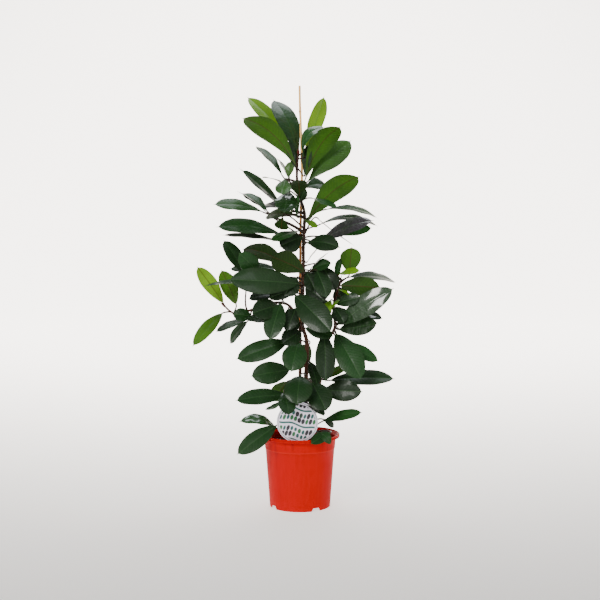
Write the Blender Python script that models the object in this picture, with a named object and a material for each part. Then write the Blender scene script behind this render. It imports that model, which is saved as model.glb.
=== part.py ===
# African fig in a nursery pot
"""A potted African fig: three leafy stems, a bamboo cane and a round plant label stand in the
soil of a flared plastic nursery pot. Lengths are millimetres here and are scaled to metres when
a mesh is made. The origin is the middle of the pot's foot on the floor, +Z is up and -Y is the
front, the side that the label faces.
"""

import math

import bpy
import numpy as np

MM = 0.001
GAP = 0.3

# Pot
POT_SIDES = 36
POT_HEIGHT = 193.0
FOOT_RADIUS = 80.0
RIDGE_HEIGHT = 156.0
BODY_RADIUS_AT_RIDGE = 91.4
RIDGE_STEP = 1.5
COLLAR_TOP_RADIUS = 94.8
LIP_RADIUS = 105.0
LIP_HEIGHT = 9.0
LIP_EDGE = 1.4
LIP_ROLL = 1.6
WALL = 2.0
FLOOR_UNDERSIDE = 10.0
FLOOR_THICKNESS = 2.5
NOTCH_WIDTH = 26.0
NOTCH_TOP_WIDTH = 18.0
NOTCH_HEIGHT = 8.0
NOTCH_ANGLES = (-60.0, 32.0, 122.0, 212.0)
DRAIN_RADIUS = 5.0
DRAIN_CIRCLE = 42.0
DRAIN_COUNT = 6
DRAIN_SIDES = 10

# Soil
SOIL_TOP = 164.0
SOIL_CROWN = 5.0
SOIL_LUMP = 1.6
SOIL_RINGS = 4
FOOT_OF_STEMS = 70.0
ABOVE_SOIL = 200.0

# Cane
CANE_SIDES = 8
CANE_NODE_SWELL = 0.7
CANE_NODES = (1040.0, 930.0, 790.0, 640.0, 300.0)
CANE_NODE_HALF = 4.0
CANE_PATH = (
    (0, 20, 200), (0, 18, 340), (0, 16, 500), (1, 13, 690), (3, 11, 800), (5, 10, 870),
    (5, 10, 930), (4, 10, 1000), (2, 10, 1050), (0, 10, 1107),
)
CANE_FOOT_RADIUS = 4.4
CANE_TIP_RADIUS = 2.6

# Label
LABEL_CENTRE = (-6.6, -84.0, 237.0)
LABEL_RADIUS = 53.5
LABEL_THICKNESS = 1.2
LABEL_SIDES = 40
LABEL_BEVEL = 0.35
STICK_WIDTH = 8.0
STICK_FOOT = 125.0
STICK_POINT = 12.0

# Leafy stems
STEM_SIDES = 6
STATIONS_PER_SPAN = 2
BUD_LENGTH = 22.0
PETIOLE_WIDTH = 3.2
BLADE_THICKNESS = 0.8
DRIP_TIP_SHARE = 0.075
DRIP_TIP_WIDTH = 3.2
WIDEST_AT = 1.6
BLUNTNESS = 0.72
PARTNER_SIZE = 0.86
PARTNER_CENTRE = 0.6
PARTNER_DEPTH = 1.1
PARTNER_SHIFT = 12.0
PARTNER_PLACE = 0.12
EYE_DISTANCE = 3200.0
EYE_HEIGHT = 800.0

# Colours
TERRACOTTA_RED = (0.58, 0.035, 0.012)
DARK_SOIL = (0.035, 0.02, 0.012)
BAMBOO_TAN = (0.72, 0.48, 0.25)
CARD_WHITE = (0.85, 0.85, 0.84)
FIG_GREEN = (0.035, 0.10, 0.035)

# Each stem's path from where it leaves the soil to its growing point, its radius at both ends and
# its leaves. A leaf row is: place on the stem (2.5 is halfway from path point 2 to 3), the blade's
# base x, y, z, its tip x, y, z, its width, how far its upper side is turned from the front in
# degrees, how high its midrib arches above the straight line from base to tip, and how far each
# half is folded up from flat in degrees.
MAIN_PATH = (
    (16, 0, 176), (16, 0, 258), (16, 0, 340), (18, 0, 395), (17, 0, 440), (6, -1, 482),
    (6, -2, 540), (7, -2, 590), (9, -2, 640), (8, -2, 690), (7, -4, 738), (8, -4, 780),
    (-3, -3, 830), (-5, -2, 870), (-2, -2, 905), (1, -2, 932),
)
MAIN_RADII = (5.2, 2.4)
MAIN_LEAVES = (
    (14.6, -10, 22, 944, -139, 100, 1078, 46, 30, 12, 14),
    (14.2, -3, 14, 914, -68, 75, 1073, 66, 34, 26, 8),
    (13.4, -10, -14, 900, -153, -70, 1024, 68, 148, 46, 8),
    (14.8, 12, 4, 936, 63, 50, 1080, 48, 30, -6, 12),
    (14.4, 11, -9, 921, 66, -24, 1000, 42, 54, 32, 12),
    (12.6, 14, -14, 863, 107, -75, 1001, 68, 152, 38, 8),
    (12.4, 20, 10, 857, 134, 55, 965, 68, 25, 10, 8),
    (12.3, -46, 20, 872, -116, 80, 950, 46, 62, 8, 14),
    (12.0, -26, 12, 852, -60, 50, 918, 38, 74, 6, 12),
    (12.2, -30, 6, 866, -24, 12, 910, 26, 20, 3, 10),
    (10.9, -50, -6, 792, -152, -40, 884, 50, 62, 6, 18),
    (11.9, -44, 34, 852, -98, 110, 867, 34, 86, 5, 12),
    (9.6, -84, 25, 778, -150, 70, 827, 46, 58, 6, 14),
    (9.7, -96, -8, 777, -227, -45, 797, 50, 54, 12, 8),
    (9.4, -48, -14, 718, -220, -70, 738, 60, 50, 17, 8),
    (9.3, -50, 22, 706, -202, 60, 722, 48, 80, 6, 12),
    (10.8, -44, 22, 788, -93, 80, 797, 40, 55, 4, 12),
    (10.6, -16, -16, 768, -90, -60, 765, 52, 122, 10, 10),
    (12.5, -40, -22, 864, -46, -100, 822, 42, 10, 4, 6),
    (11.6, -28, -22, 832, -42, -112, 776, 60, 10, 6, 6),
    (11.7, 0, -18, 812, -4, -84, 862, 46, 180, 8, 8),
    (11.9, 10, -4, 842, 67, 16, 851, 42, 55, 8, 12),
    (10.2, 20, -14, 754, 152, -70, 870, 68, 150, 30, 8),
    (11.5, 30, -34, 814, 95, -92, 788, 34, 64, 4, 10),
    (10.4, 66, 14, 784, 203, 60, 762, 44, 68, 16, 10),
    (9.8, 50, 8, 744, 204, 40, 740, 46, 68, 24, 10),
    (9.2, 46, -4, 706, 190, -60, 720, 74, 58, 34, 6),
    (9.5, 56, 18, 728, 146, 90, 686, 40, 84, 6, 12),
    (10.3, 12, -18, 757, 46, -40, 737, 18, 30, 3, 10),
    (10.9, -22, -24, 776, -27, -42, 815, 16, 150, 3, 10),
    (10.7, -8, -26, 766, -6, -46, 820, 16, 30, 3, 10),
    (8.9, 18, -18, 697, 106, -72, 684, 50, 28, 16, 8),
    (7.7, 30, -8, 626, 83, -24, 644, 36, 36, 6, 12),
    (7.5, -64, 32, 632, -186, 66, 628, 40, 68, 6, 12),
    (7.8, -36, -16, 638, -152, -60, 680, 58, 140, 18, 10),
    (7.2, -104, -34, 612, -161, -96, 671, 50, 8, 6, 8),
    (6.9, -2, -24, 588, -190, -110, 599, 64, 12, 10, 8),
    (6.8, -60, 4, 594, -253, -92, 583, 36, 76, 8, 12),
    (7.5, 12, -24, 620, -74, -100, 660, 64, 165, 10, 8),
    (9.7, -2, -24, 728, -74, -85, 700, 44, 60, 6, 8),
    (7.3, 44, -24, 624, 72, -62, 550, 46, 10, 8, 10),
    (7.9, 64, 2, 619, 90, -22, 570, 46, 8, 6, 10),
    (6.4, -14, -36, 560, 84, -112, 460, 74, 8, 10, 8),
    (5.0, 14, -36, 472, 88, -80, 450, 36, 14, 4, 10),
    (3.8, -4, -38, 436, -24, -96, 354, 66, 5, 10, 8),
    (2.1, 1, -52, 346, -9, -122, 266, 74, 5, 12, 8),
    (1.6, 14, -38, 292, -6, -72, 250, 34, 10, 4, 10),
    (1.8, 32, -38, 328, 70, -105, 250, 66, 8, 8, 8),
    (2.6, 26, -16, 384, 46, -50, 320, 36, 30, 4, 12),
    (4.3, 2, -16, 464, -48, -54, 430, 50, 10, 6, 10),
    (7.2, 24, 10, 600, 64, 34, 540, 52, 15, 8, 10),
    (6.3, 26, 16, 556, 78, 44, 500, 52, 12, 8, 10),
    (1.5, 18, -60, 274, 64, -112, 238, 36, 58, 4, 12),
    (10.5, -44, 4, 786, -160, -20, 893, 40, 85, 4, 10),
    (9.3, -84, 14, 774, -164, 40, 832, 36, 85, 4, 10),
    (9.9, -46, -46, 764, -49, -82, 731, 38, 170, 4, 8),
    (8.6, 4, -14, 700, -54, -50, 690, 54, 15, 8, 8),
)
MAIN_PARTNERS = (
    (2, 0), (14, 0), (18, 0), (22, 0), (26, 0), (36, -18), (38, 0), (42, 16), (44, 30),
    (45, 34), (47, 10),
)
LEFT_PATH = (
    (-10, 5, 176), (-5, 5, 262), (0, 4, 345), (1, 4, 430), (-3, 3, 485), (-31, 2, 533),
    (-80, -4, 538), (-125, -12, 522), (-165, -20, 512), (-182, -22, 518), (-196, -24, 531),
)
LEFT_RADII = (4.2, 2.0)
LEFT_LEAVES = (
    (7.3, -146, 14, 612, -201, 34, 704, 46, 28, 8, 14),
    (10.0, -202, -28, 538, -271, -60, 635, 42, 165, 4, 10),
    (8.3, -168, -20, 534, -206, -26, 624, 42, 160, 6, 10),
    (8.9, -205, -26, 511, -284, -138, 423, 36, 15, 12, 10),
    (6.8, -126, -20, 503, -178, -30, 508, 38, 20, 4, 12),
    (5.2, -60, -6, 562, -136, -22, 548, 46, 52, 6, 10),
    (5.5, -56, -24, 532, -128, -88, 510, 58, 12, 8, 10),
    (6.6, -138, 0, 496, -222, -40, 461, 36, 58, 6, 8),
    (7.0, -138, 20, 490, -185, 40, 430, 38, 50, 6, 12),
    (5.2, -50, -36, 538, -80, -92, 439, 56, 12, 8, 12),
    (3.0, -30, -4, 438, -170, -60, 389, 54, 10, 4, 8),
    (2.4, -26, -6, 362, -131, -70, 344, 60, 5, 6, 8),
    (1.8, -34, 12, 330, -72, 50, 276, 46, 170, 5, 10),
    (1.3, -36, -26, 295, -171, -70, 279, 48, 28, 8, 10),
    (1.2, -46, -34, 281, -92, -52, 255, 26, 62, -4, 10),
    (1.45, -42, -74, 301, -29, -128, 240, 46, 12, 5, 10),
    (0.2, -62, -50, 213, -168, -112, 135, 48, 8, 8, 8),
    (0.3, -64, -28, 207, -161, -60, 223, 40, 50, 20, 8),
    (4.9, -30, 2, 526, -20, -12, 452, 46, 10, 6, 12),
)
LEFT_PARTNERS = ((6, 0), (9, 0), (10, 0), (11, -12))
RIGHT_PATH = (
    (34, 14, 176), (40, 13, 250), (52, 11, 320), (60, 8, 385), (74, 0, 438), (91, -6, 473),
    (90, -8, 500), (87, -8, 530), (94, -6, 555), (104, -2, 588),
)
RIGHT_RADII = (4.2, 2.0)
RIGHT_LEAVES = (
    (9.2, 130, -12, 615, 136, -40, 686, 56, 174, 6, 8),
    (9.4, 99, -12, 602, 108, -22, 657, 28, 50, 5, 12),
    (1.7, 60, -12, 306, 166, -45, 303, 56, 8, 6, 8),
    (2.2, 78, -4, 333, 252, -30, 337, 56, 42, 8, 12),
    (4.7, 94, -24, 458, 163, -95, 334, 70, 8, 10, 8),
    (4.6, 104, 4, 436, 208, -20, 383, 40, 28, 4, 10),
    (4.3, 64, -28, 460, 68, -82, 328, 54, 5, 8, 10),
    (2.5, 74, -8, 340, 124, -26, 372, 26, 150, 5, 12),
    (5.0, 102, -16, 468, 205, -62, 486, 50, 15, -6, 12),
    (5.3, 146, 4, 502, 218, -18, 496, 30, 40, 12, 14),
    (5.4, 98, -26, 480, 248, -84, 578, 56, 12, 10, 12),
    (8.7, 104, -16, 584, 214, -54, 577, 54, 165, 8, 8),
    (9.0, 128, 12, 606, 252, 128, 593, 46, 62, 12, 12),
    (9.3, 102, -26, 614, 158, -60, 622, 28, 50, 5, 12),
    (7.5, 81, -18, 546, 62, -40, 499, 28, 15, 4, 12),
    (8.6, 102, -22, 574, 130, -38, 559, 12, 60, 3, 12),
    (8.2, 106, -24, 549, 86, -34, 526, 12, 50, 3, 12),
    (0.3, 64, -24, 226, 165, -50, 248, 34, 36, 6, 10),
    (0.6, 62, -10, 229, 90, 6, 209, 20, 30, 4, 12),
    (0.2, 80, -56, 194, 28, -112, 163, 30, 15, 6, 8),
    (0.1, 50, -68, 194, 82, -88, 162, 26, 22, 14, 8),
    (8.0, 94, -22, 536, 160, -46, 554, 36, 20, 5, 10),
    (7.0, 92, -16, 528, 116, -48, 486, 44, 10, 5, 10),
)

RIGHT_PARTNERS = ((2, 0), (4, 0), (6, 0), (8, 0), (10, 0), (11, 0))

# Share of the blade's length at which a cross section stands, and the height of the midrib there.
BLADE_STATIONS = ((0.0, 3.0), (0.24, 2.2), (0.5, 1.5), (0.76, 0.9), (0.925, 0.8))


def material(name, colour, roughness):
    """A plain Principled material."""
    made = bpy.data.materials.new(name)
    made.use_nodes = True
    shader = made.node_tree.nodes["Principled BSDF"]
    shader.inputs["Base Color"].default_value = (*colour, 1.0)
    shader.inputs["Roughness"].default_value = roughness
    return made


def add_object(name, points, faces, finish):
    """An object from points in millimetres and faces that point outwards."""
    mesh = bpy.data.meshes.new(name)
    mesh.from_pydata((np.asarray(points, float) * MM).tolist(), [], [list(face) for face in faces])
    made = bpy.data.objects.new(name, mesh)
    made.data.materials.append(finish)
    bpy.context.scene.collection.objects.link(made)
    return made


def apply_modifiers(piece):
    """Replaces an object's mesh by what its modifiers make of it."""
    graph = bpy.context.evaluated_depsgraph_get()
    made = bpy.data.meshes.new_from_object(piece.evaluated_get(graph))
    piece.modifiers.clear()
    piece.data = made


def boolean(piece, others, operation):
    """Joins other solids to a piece, or cuts them from it, in one step, and removes them."""
    group = bpy.data.collections.new(piece.name + "_others")
    for other in others:
        group.objects.link(other)
        bpy.context.scene.collection.objects.unlink(other)
    bpy.context.scene.collection.children.link(group)
    modifier = piece.modifiers.new(operation.title(), "BOOLEAN")
    modifier.operation = operation
    modifier.operand_type = "COLLECTION"
    modifier.collection = group
    modifier.solver = "EXACT"
    apply_modifiers(piece)
    for other in others:
        bpy.data.objects.remove(other)
    bpy.data.collections.remove(group)


def tube(rings):
    """Points and faces of a closed tube through rings of equal size, each an array of points that
    run anticlockwise seen from the tube's far end."""
    sides = len(rings[0])
    faces = [tuple(range(sides - 1, -1, -1))]
    for low in range(0, (len(rings) - 1) * sides, sides):
        for side in range(sides):
            after = (side + 1) % sides
            faces.append((low + side, low + after, low + sides + after, low + sides + side))
    last = (len(rings) - 1) * sides
    faces.append(tuple(range(last, last + sides)))
    return np.concatenate(rings), faces


def turned(profile, sides):
    """Points and faces of a closed profile turned round the Z axis. The profile runs from one
    point on the axis to the other, up the outside first."""
    angles = np.arange(sides) * 2 * math.pi / sides
    points = [(0.0, 0.0, profile[0][1])]
    for radius, height in profile[1:-1]:
        points += [(radius * math.cos(a), radius * math.sin(a), height) for a in angles]
    points.append((0.0, 0.0, profile[-1][1]))
    end = len(points) - 1
    faces = []
    for side in range(sides):
        after = (side + 1) % sides
        faces.append((0, 1 + after, 1 + side))
        for ring in range(len(profile) - 3):
            low = 1 + ring * sides
            faces.append((low + side, low + after, low + sides + after, low + sides + side))
        faces.append((end - sides + side, end - sides + after, end))
    return points, faces


def prism(outline, low, high):
    """Points and faces of an upright prism with an outline, between two heights."""
    return tube([np.array([(x, y, z) for x, y in outline]) for z in (low, high)])


def circle(centre, radius, sides):
    """Points of a regular outline round a centre."""
    angles = [2 * math.pi * side / sides for side in range(sides)]
    return [(centre[0] + radius * math.cos(a), centre[1] + radius * math.sin(a)) for a in angles]


def smooth_path(path, place):
    """The point at a place on a path, from a Catmull-Rom curve that leaves the soil upright."""
    points = np.array(path, float)
    below = points[0] - (0, 0, points[1][2] - points[0][2])
    beyond = 2 * points[-1] - points[-2]
    points = np.vstack([below, points, beyond])
    span = min(int(place), len(path) - 2)
    t = place - span
    before, start, end, after = points[span:span + 4]
    return 0.5 * (
        2 * start + (end - before) * t + (2 * before - 5 * start + 4 * end - after) * t ** 2
        + (3 * start - before - 3 * end + after) * t ** 3
    )


def rings_along(stations, radii, sides):
    """Level-to-the-path rings round the stations of an upright path."""
    stations = np.array(stations, float)
    tangents = np.gradient(stations, axis=0)
    tangents /= np.linalg.norm(tangents, axis=1)[:, None]
    side = np.array((1.0, 0.0, 0.0))
    rings = []
    for station, tangent, radius in zip(stations, tangents, radii):
        side = side - tangent * side.dot(tangent)
        side /= np.linalg.norm(side)
        front = np.cross(tangent, side)
        angles = np.arange(sides)[:, None] * 2 * math.pi / sides
        rings.append(station + radius * (np.cos(angles) * side + np.sin(angles) * front))
    return rings


def stem_mesh(path, radii):
    """A stem from its foot in the soil to the pointed bud at its end."""
    count = (len(path) - 1) * STATIONS_PER_SPAN
    stations = [smooth_path(path, step / STATIONS_PER_SPAN) for step in range(count + 1)]
    foot = (path[0][0], path[0][1], FOOT_OF_STEMS)
    thick = list(np.linspace(radii[0], radii[1], count + 1))
    end = stations[-1]
    growth = end - stations[-2]
    growth /= np.linalg.norm(growth)
    bud = [end + growth * BUD_LENGTH * share for share in (0.3, 1.0)]
    thick = [radii[0], *thick, radii[1] * 1.2, 0.5]
    return tube(rings_along([foot, *stations, *bud], thick, STEM_SIDES))


def on_sight_line(x, y, z):
    """Moves a place seen at x, z in the plane of the pot's axis along the line of sight to depth
    y, for an eye in front of the pot."""
    nearness = (EYE_DISTANCE + y) / EYE_DISTANCE
    return np.array((x * nearness, y, EYE_HEIGHT + (z - EYE_HEIGHT) * nearness))


def half_width(share):
    """Half of a blade's width at a share of its length, for a blade one unit wide: the power of a
    sine that is widest past the middle, then a narrow drip tip."""
    along = min(share / (1 - DRIP_TIP_SHARE), 1.0)
    return 0.5 * abs(math.sin(math.pi * along ** WIDEST_AT)) ** BLUNTNESS


def leaf_frame(row):
    """Base, tip and the unit vectors along a blade, across it and out of its upper side."""
    base, tip = on_sight_line(*row[1:4]), on_sight_line(*row[4:7])
    along = (tip - base) / np.linalg.norm(tip - base)
    to_eye = np.array((-base[0], -EYE_DISTANCE, EYE_HEIGHT - base[2]))
    to_eye /= np.linalg.norm(to_eye)
    front = to_eye - along * to_eye.dot(along)
    front /= np.linalg.norm(front)
    upright = np.cross(front, along) * (1.0 if along[0] > 0 else -1.0)
    turn = math.radians(row[8])
    normal = math.cos(turn) * front + math.sin(turn) * upright
    return base, tip, along, np.cross(along, normal), normal


def section(centre, across, normal, half, rim, rib, fold):
    """Six points round a cross section: rim height at both edges and rib height in the middle."""
    edge = across * half * math.cos(fold)
    lift = normal * half * math.sin(fold)
    left, right = centre - edge + lift, centre + edge + lift
    up, ridge = normal * BLADE_THICKNESS / 2, normal * (BLADE_THICKNESS / 2 - rib)
    rise = normal * rim / 2
    upper = (left + rise, centre + up, right + rise)
    return np.array((*upper, right - rise, centre + ridge, left - rise))


def leaf_mesh(path, row):
    """Points and faces of a leaf with its stalk, which starts on the stem's axis. Both faces are
    split into triangles the same way."""
    root = smooth_path(path, row[0])
    base, tip, along, across, normal = leaf_frame(row)
    width, arch, fold = row[7], row[9], math.radians(row[10])
    length = np.linalg.norm(tip - base)
    stalk = (base - root) / np.linalg.norm(base - root)
    stalk_across = across - stalk * across.dot(stalk)
    stalk_across /= np.linalg.norm(stalk_across)
    stalk_normal = np.cross(stalk_across, stalk)
    thick = PETIOLE_WIDTH / 2
    sections = [section(root, stalk_across, stalk_normal, thick, thick, PETIOLE_WIDTH, 0.0)]
    for share, rib in BLADE_STATIONS:
        middle = base + (tip - base) * share + normal * arch * 4 * share * (1 - share)
        slope = along * length + normal * arch * 4 * (1 - 2 * share)
        upper = np.cross(across, slope / np.linalg.norm(slope))
        half = max(width * half_width(share), (thick if share == 0 else DRIP_TIP_WIDTH / 2))
        rim = thick if share == 0 else BLADE_THICKNESS
        sections.append(section(middle, across, upper, half, rim, rib, 0.0 if share == 0 else fold))
    sections.append(section(tip, across, upper, 0.5, BLADE_THICKNESS, BLADE_THICKNESS, 0.0))
    faces = [(0, 5, 4), (0, 4, 1), (1, 4, 3), (1, 3, 2)]
    for low in range(0, (len(sections) - 1) * 6, 6):
        high = low + 6
        for a, b, swap in ((0, 1, 0), (1, 2, 1), (2, 3, 0), (3, 4, 0), (4, 5, 1), (5, 0, 0)):
            if swap:
                faces += [(low + a, low + b, high + a), (low + b, high + b, high + a)]
            else:
                faces += [(low + a, low + b, high + b), (low + a, high + b, high + a)]
    last = (len(sections) - 1) * 6
    faces += [(last, last + 1, last + 4), (last, last + 4, last + 5)]
    faces += [(last + 1, last + 2, last + 3), (last + 1, last + 3, last + 4)]
    return np.concatenate(sections), faces


def partner(row, sideways):
    """The leaf that grows at the back of the stem opposite a front one: nearly the same place seen
    from the front and a little smaller, so that the front one hides it."""
    place, base, tip = row[0], np.array(row[1:4], float), np.array(row[4:7], float)
    centre = base + (tip - base) * PARTNER_CENTRE
    base = centre + (base - centre) * PARTNER_SIZE
    tip = centre + (tip - centre) * PARTNER_SIZE
    base[1] = -base[1] * PARTNER_DEPTH + PARTNER_SHIFT
    tip[1] = -tip[1] * PARTNER_DEPTH + PARTNER_SHIFT
    base[0] += sideways
    return (place + PARTNER_PLACE, *base, *tip, row[7] * PARTNER_SIZE, 180.0 - row[8], *row[9:])


def leafy_stem(name, path, radii, leaves, partners, finish):
    """One stem with all its leaves fused to it."""
    stem = add_object(name, *stem_mesh(path, radii), finish)
    rows = [*leaves, *(partner(leaves[which], sideways) for which, sideways in partners)]
    blades = [add_object("leaf", *leaf_mesh(path, row), finish) for row in rows]
    boolean(stem, blades, "UNION")
    return stem


def pot_wall_radius(height):
    """Outer radius of the pot's wall at a height."""
    if height <= RIDGE_HEIGHT:
        return FOOT_RADIUS + (BODY_RADIUS_AT_RIDGE - FOOT_RADIUS) * height / RIDGE_HEIGHT
    share = (height - RIDGE_HEIGHT) / (POT_HEIGHT - LIP_HEIGHT - RIDGE_HEIGHT)
    foot = BODY_RADIUS_AT_RIDGE + RIDGE_STEP
    return foot + (COLLAR_TOP_RADIUS - foot) * share


def notch(turn, finish):
    """The cutter for a notch under the pot's foot, narrower at its top."""
    outward = np.array((math.sin(turn), -math.cos(turn), 0.0))
    sideways = np.array((math.cos(turn), math.sin(turn), 0.0)) / 2
    corners = (
        (-NOTCH_WIDTH, -1.0), (NOTCH_WIDTH, -1.0),
        (NOTCH_TOP_WIDTH, NOTCH_HEIGHT), (-NOTCH_TOP_WIDTH, NOTCH_HEIGHT),
    )
    rings = []
    for reach in (FOOT_RADIUS - 4 * WALL, FOOT_RADIUS + 3 * WALL):
        rings.append(np.array([outward * reach + sideways * w + (0, 0, z) for w, z in corners]))
    return add_object("notch", *tube(rings), finish)


def pot(finish):
    """The turned shell with its flared lip, foot notches and drain holes."""
    lip_low = POT_HEIGHT - LIP_HEIGHT
    floor_top = FLOOR_UNDERSIDE + FLOOR_THICKNESS
    inner_low = pot_wall_radius(floor_top) - WALL
    profile = (
        (0, FLOOR_UNDERSIDE),
        (pot_wall_radius(FLOOR_UNDERSIDE) - WALL, FLOOR_UNDERSIDE),
        (FOOT_RADIUS - WALL, 0),
        (FOOT_RADIUS, 0),
        (BODY_RADIUS_AT_RIDGE, RIDGE_HEIGHT - RIDGE_STEP),
        (BODY_RADIUS_AT_RIDGE + RIDGE_STEP, RIDGE_HEIGHT),
        (COLLAR_TOP_RADIUS, lip_low),
        (LIP_RADIUS - LIP_EDGE, lip_low + LIP_EDGE / 2),
        (LIP_RADIUS, lip_low + LIP_EDGE * 1.5),
        (LIP_RADIUS, POT_HEIGHT - LIP_EDGE),
        (LIP_RADIUS - LIP_EDGE, POT_HEIGHT),
        (LIP_RADIUS - LIP_EDGE - LIP_ROLL, POT_HEIGHT),
        (COLLAR_TOP_RADIUS - WALL + LIP_EDGE / 2, lip_low + LIP_ROLL),
        (BODY_RADIUS_AT_RIDGE - WALL, RIDGE_HEIGHT),
        (inner_low, floor_top),
        (0, floor_top),
    )
    shell = add_object("pot", *turned(profile, POT_SIDES), finish)
    cutters = [notch(math.radians(angle), finish) for angle in NOTCH_ANGLES]
    for centre in circle((0, 0), DRAIN_CIRCLE, DRAIN_COUNT):
        hole = prism(circle(centre, DRAIN_RADIUS, DRAIN_SIDES), 0, FLOOR_UNDERSIDE + LIP_HEIGHT)
        cutters.append(add_object("drain", *hole, finish))
    boolean(shell, cutters, "DIFFERENCE")
    return shell


def soil(finish, stands):
    """The soil with a lumpy top and a plain hole for each thing that stands in it. A stand is the
    outline of the thing and the height of its foot."""
    low = FLOOR_UNDERSIDE + FLOOR_THICKNESS + GAP
    inner_low = pot_wall_radius(low) - WALL - GAP
    edge = BODY_RADIUS_AT_RIDGE - WALL - GAP
    profile = [(0, low), (inner_low, low), (edge, RIDGE_HEIGHT)]
    profile += [(edge * share, SOIL_TOP) for share in np.linspace(1.0, 1 / SOIL_RINGS, SOIL_RINGS)]
    profile.append((0, SOIL_TOP))
    points, faces = turned(profile, POT_SIDES)
    points = np.array(points)
    top = points[:, 2] == SOIL_TOP
    x, y = points[top, 0], points[top, 1]
    out = np.hypot(x, y) / edge
    lumps = np.sin(x * 0.11 + 1.3) * np.cos(y * 0.09 - 0.4) + 0.6 * np.sin((x + y) * 0.21)
    points[top, 2] += SOIL_CROWN * (1 - out ** 2) + SOIL_LUMP * lumps * (1 - out ** 4)
    filling = add_object("soil", points, faces, finish)
    cutters = []
    for outline, foot in stands:
        cutters.append(add_object("hole", *prism(outline, foot - GAP, ABOVE_SOIL), finish))
    boolean(filling, cutters, "DIFFERENCE")
    return filling


def cane(finish):
    """The bamboo cane, with a slight swelling at each node."""
    foot = (CANE_PATH[0][0], CANE_PATH[0][1], FOOT_OF_STEMS)
    places = [foot]
    for step in range((len(CANE_PATH) - 1) * STATIONS_PER_SPAN + 1):
        places.append(smooth_path(CANE_PATH, step / STATIONS_PER_SPAN))
    places = np.array(places)
    swellings = np.array(CANE_NODES)
    edges = [swellings - CANE_NODE_HALF, swellings, swellings + CANE_NODE_HALF]
    heights = np.sort(np.concatenate([places[:, 2], *edges]))
    x, y = (np.interp(heights, places[:, 2], places[:, axis]) for axis in (0, 1))
    ends = (CANE_PATH[0][2], CANE_PATH[-1][2])
    radii = np.interp(heights, ends, (CANE_FOOT_RADIUS, CANE_TIP_RADIUS))
    radii += np.isin(heights, swellings) * CANE_NODE_SWELL
    rings = rings_along(np.stack([x, y, heights], axis=1), radii, CANE_SIDES)
    return add_object("bamboo_cane", *tube(rings), finish)


def label(finish):
    """A round card on a flat stick, one piece, bevelled round the disc."""
    x, y, z = LABEL_CENTRE
    half = LABEL_THICKNESS / 2
    half_stick = STICK_WIDTH / 2
    joint = math.asin(half_stick / LABEL_RADIUS)
    sweep = np.linspace(-math.pi / 2 + joint, 1.5 * math.pi - joint, LABEL_SIDES)
    outline = [(LABEL_RADIUS * math.cos(a), LABEL_RADIUS * math.sin(a)) for a in sweep]
    point = STICK_FOOT - z
    shoulder = point + STICK_POINT
    outline += [(-half_stick, shoulder), (0, point), (half_stick, shoulder)]
    outline = np.array(outline)
    reach = np.hypot(outline[:, 0], outline[:, 1])
    rings = []
    for offset, inset in (
        (half, LABEL_BEVEL), (half - LABEL_BEVEL, 0), (LABEL_BEVEL - half, 0), (-half, LABEL_BEVEL),
    ):
        across, up = (outline * (1 - inset / reach)[:, None]).T
        rings.append(np.stack([x + across, np.full(len(up), y + offset), z + up], axis=1))
    return add_object("plant_label", *tube(rings), finish)


def stand_outlines():
    """Outline, opened by the gap, and foot height of everything that stands in the soil."""
    stands = []
    for place, radius, sides in (
        (MAIN_PATH[0], MAIN_RADII[0], STEM_SIDES),
        (LEFT_PATH[0], LEFT_RADII[0], STEM_SIDES),
        (RIGHT_PATH[0], RIGHT_RADII[0], STEM_SIDES),
        (CANE_PATH[0], CANE_FOOT_RADIUS, CANE_SIDES),
    ):
        open_radius = radius + GAP / math.cos(math.pi / sides)
        stands.append((circle(place, open_radius, sides), FOOT_OF_STEMS))
    x, y, _ = LABEL_CENTRE
    left, right = x - STICK_WIDTH / 2 - GAP, x + STICK_WIDTH / 2 + GAP
    front, back = y - LABEL_THICKNESS / 2 - GAP, y + LABEL_THICKNESS / 2 + GAP
    slot = [(left, front), (right, front), (right, back), (left, back)]
    stands.append((slot, STICK_FOOT))
    return stands


def shade_round(piece, angle=35.0):
    """Smooth shading with sharp edges kept where faces meet at a steep angle."""
    piece.data.shade_smooth()
    piece.data.set_sharp_from_angle(angle=math.radians(angle))


def main():
    for old in list(bpy.data.objects):
        bpy.data.objects.remove(old)
    green = material("fig_leaf", FIG_GREEN, 0.32)
    pieces = [
        pot(material("red_plastic", TERRACOTTA_RED, 0.38)),
        soil(material("potting_soil", DARK_SOIL, 0.95), stand_outlines()),
        cane(material("bamboo", BAMBOO_TAN, 0.6)),
        label(material("white_card", CARD_WHITE, 0.5)),
        leafy_stem("main_leafy_stem", MAIN_PATH, MAIN_RADII, MAIN_LEAVES, MAIN_PARTNERS, green),
        leafy_stem("left_leafy_stem", LEFT_PATH, LEFT_RADII, LEFT_LEAVES, LEFT_PARTNERS, green),
        leafy_stem("right_leafy_stem", RIGHT_PATH, RIGHT_RADII, RIGHT_LEAVES, RIGHT_PARTNERS, green),
    ]
    for piece in pieces:
        shade_round(piece)


main()
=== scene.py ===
"""Dresses a potted African fig: fine leaves and stems, a turned pot, crumbly soil, a bamboo cane and
a printed plant label, on a pale studio floor. Tables are in millimetres and are scaled when used.
"""

import math

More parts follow.
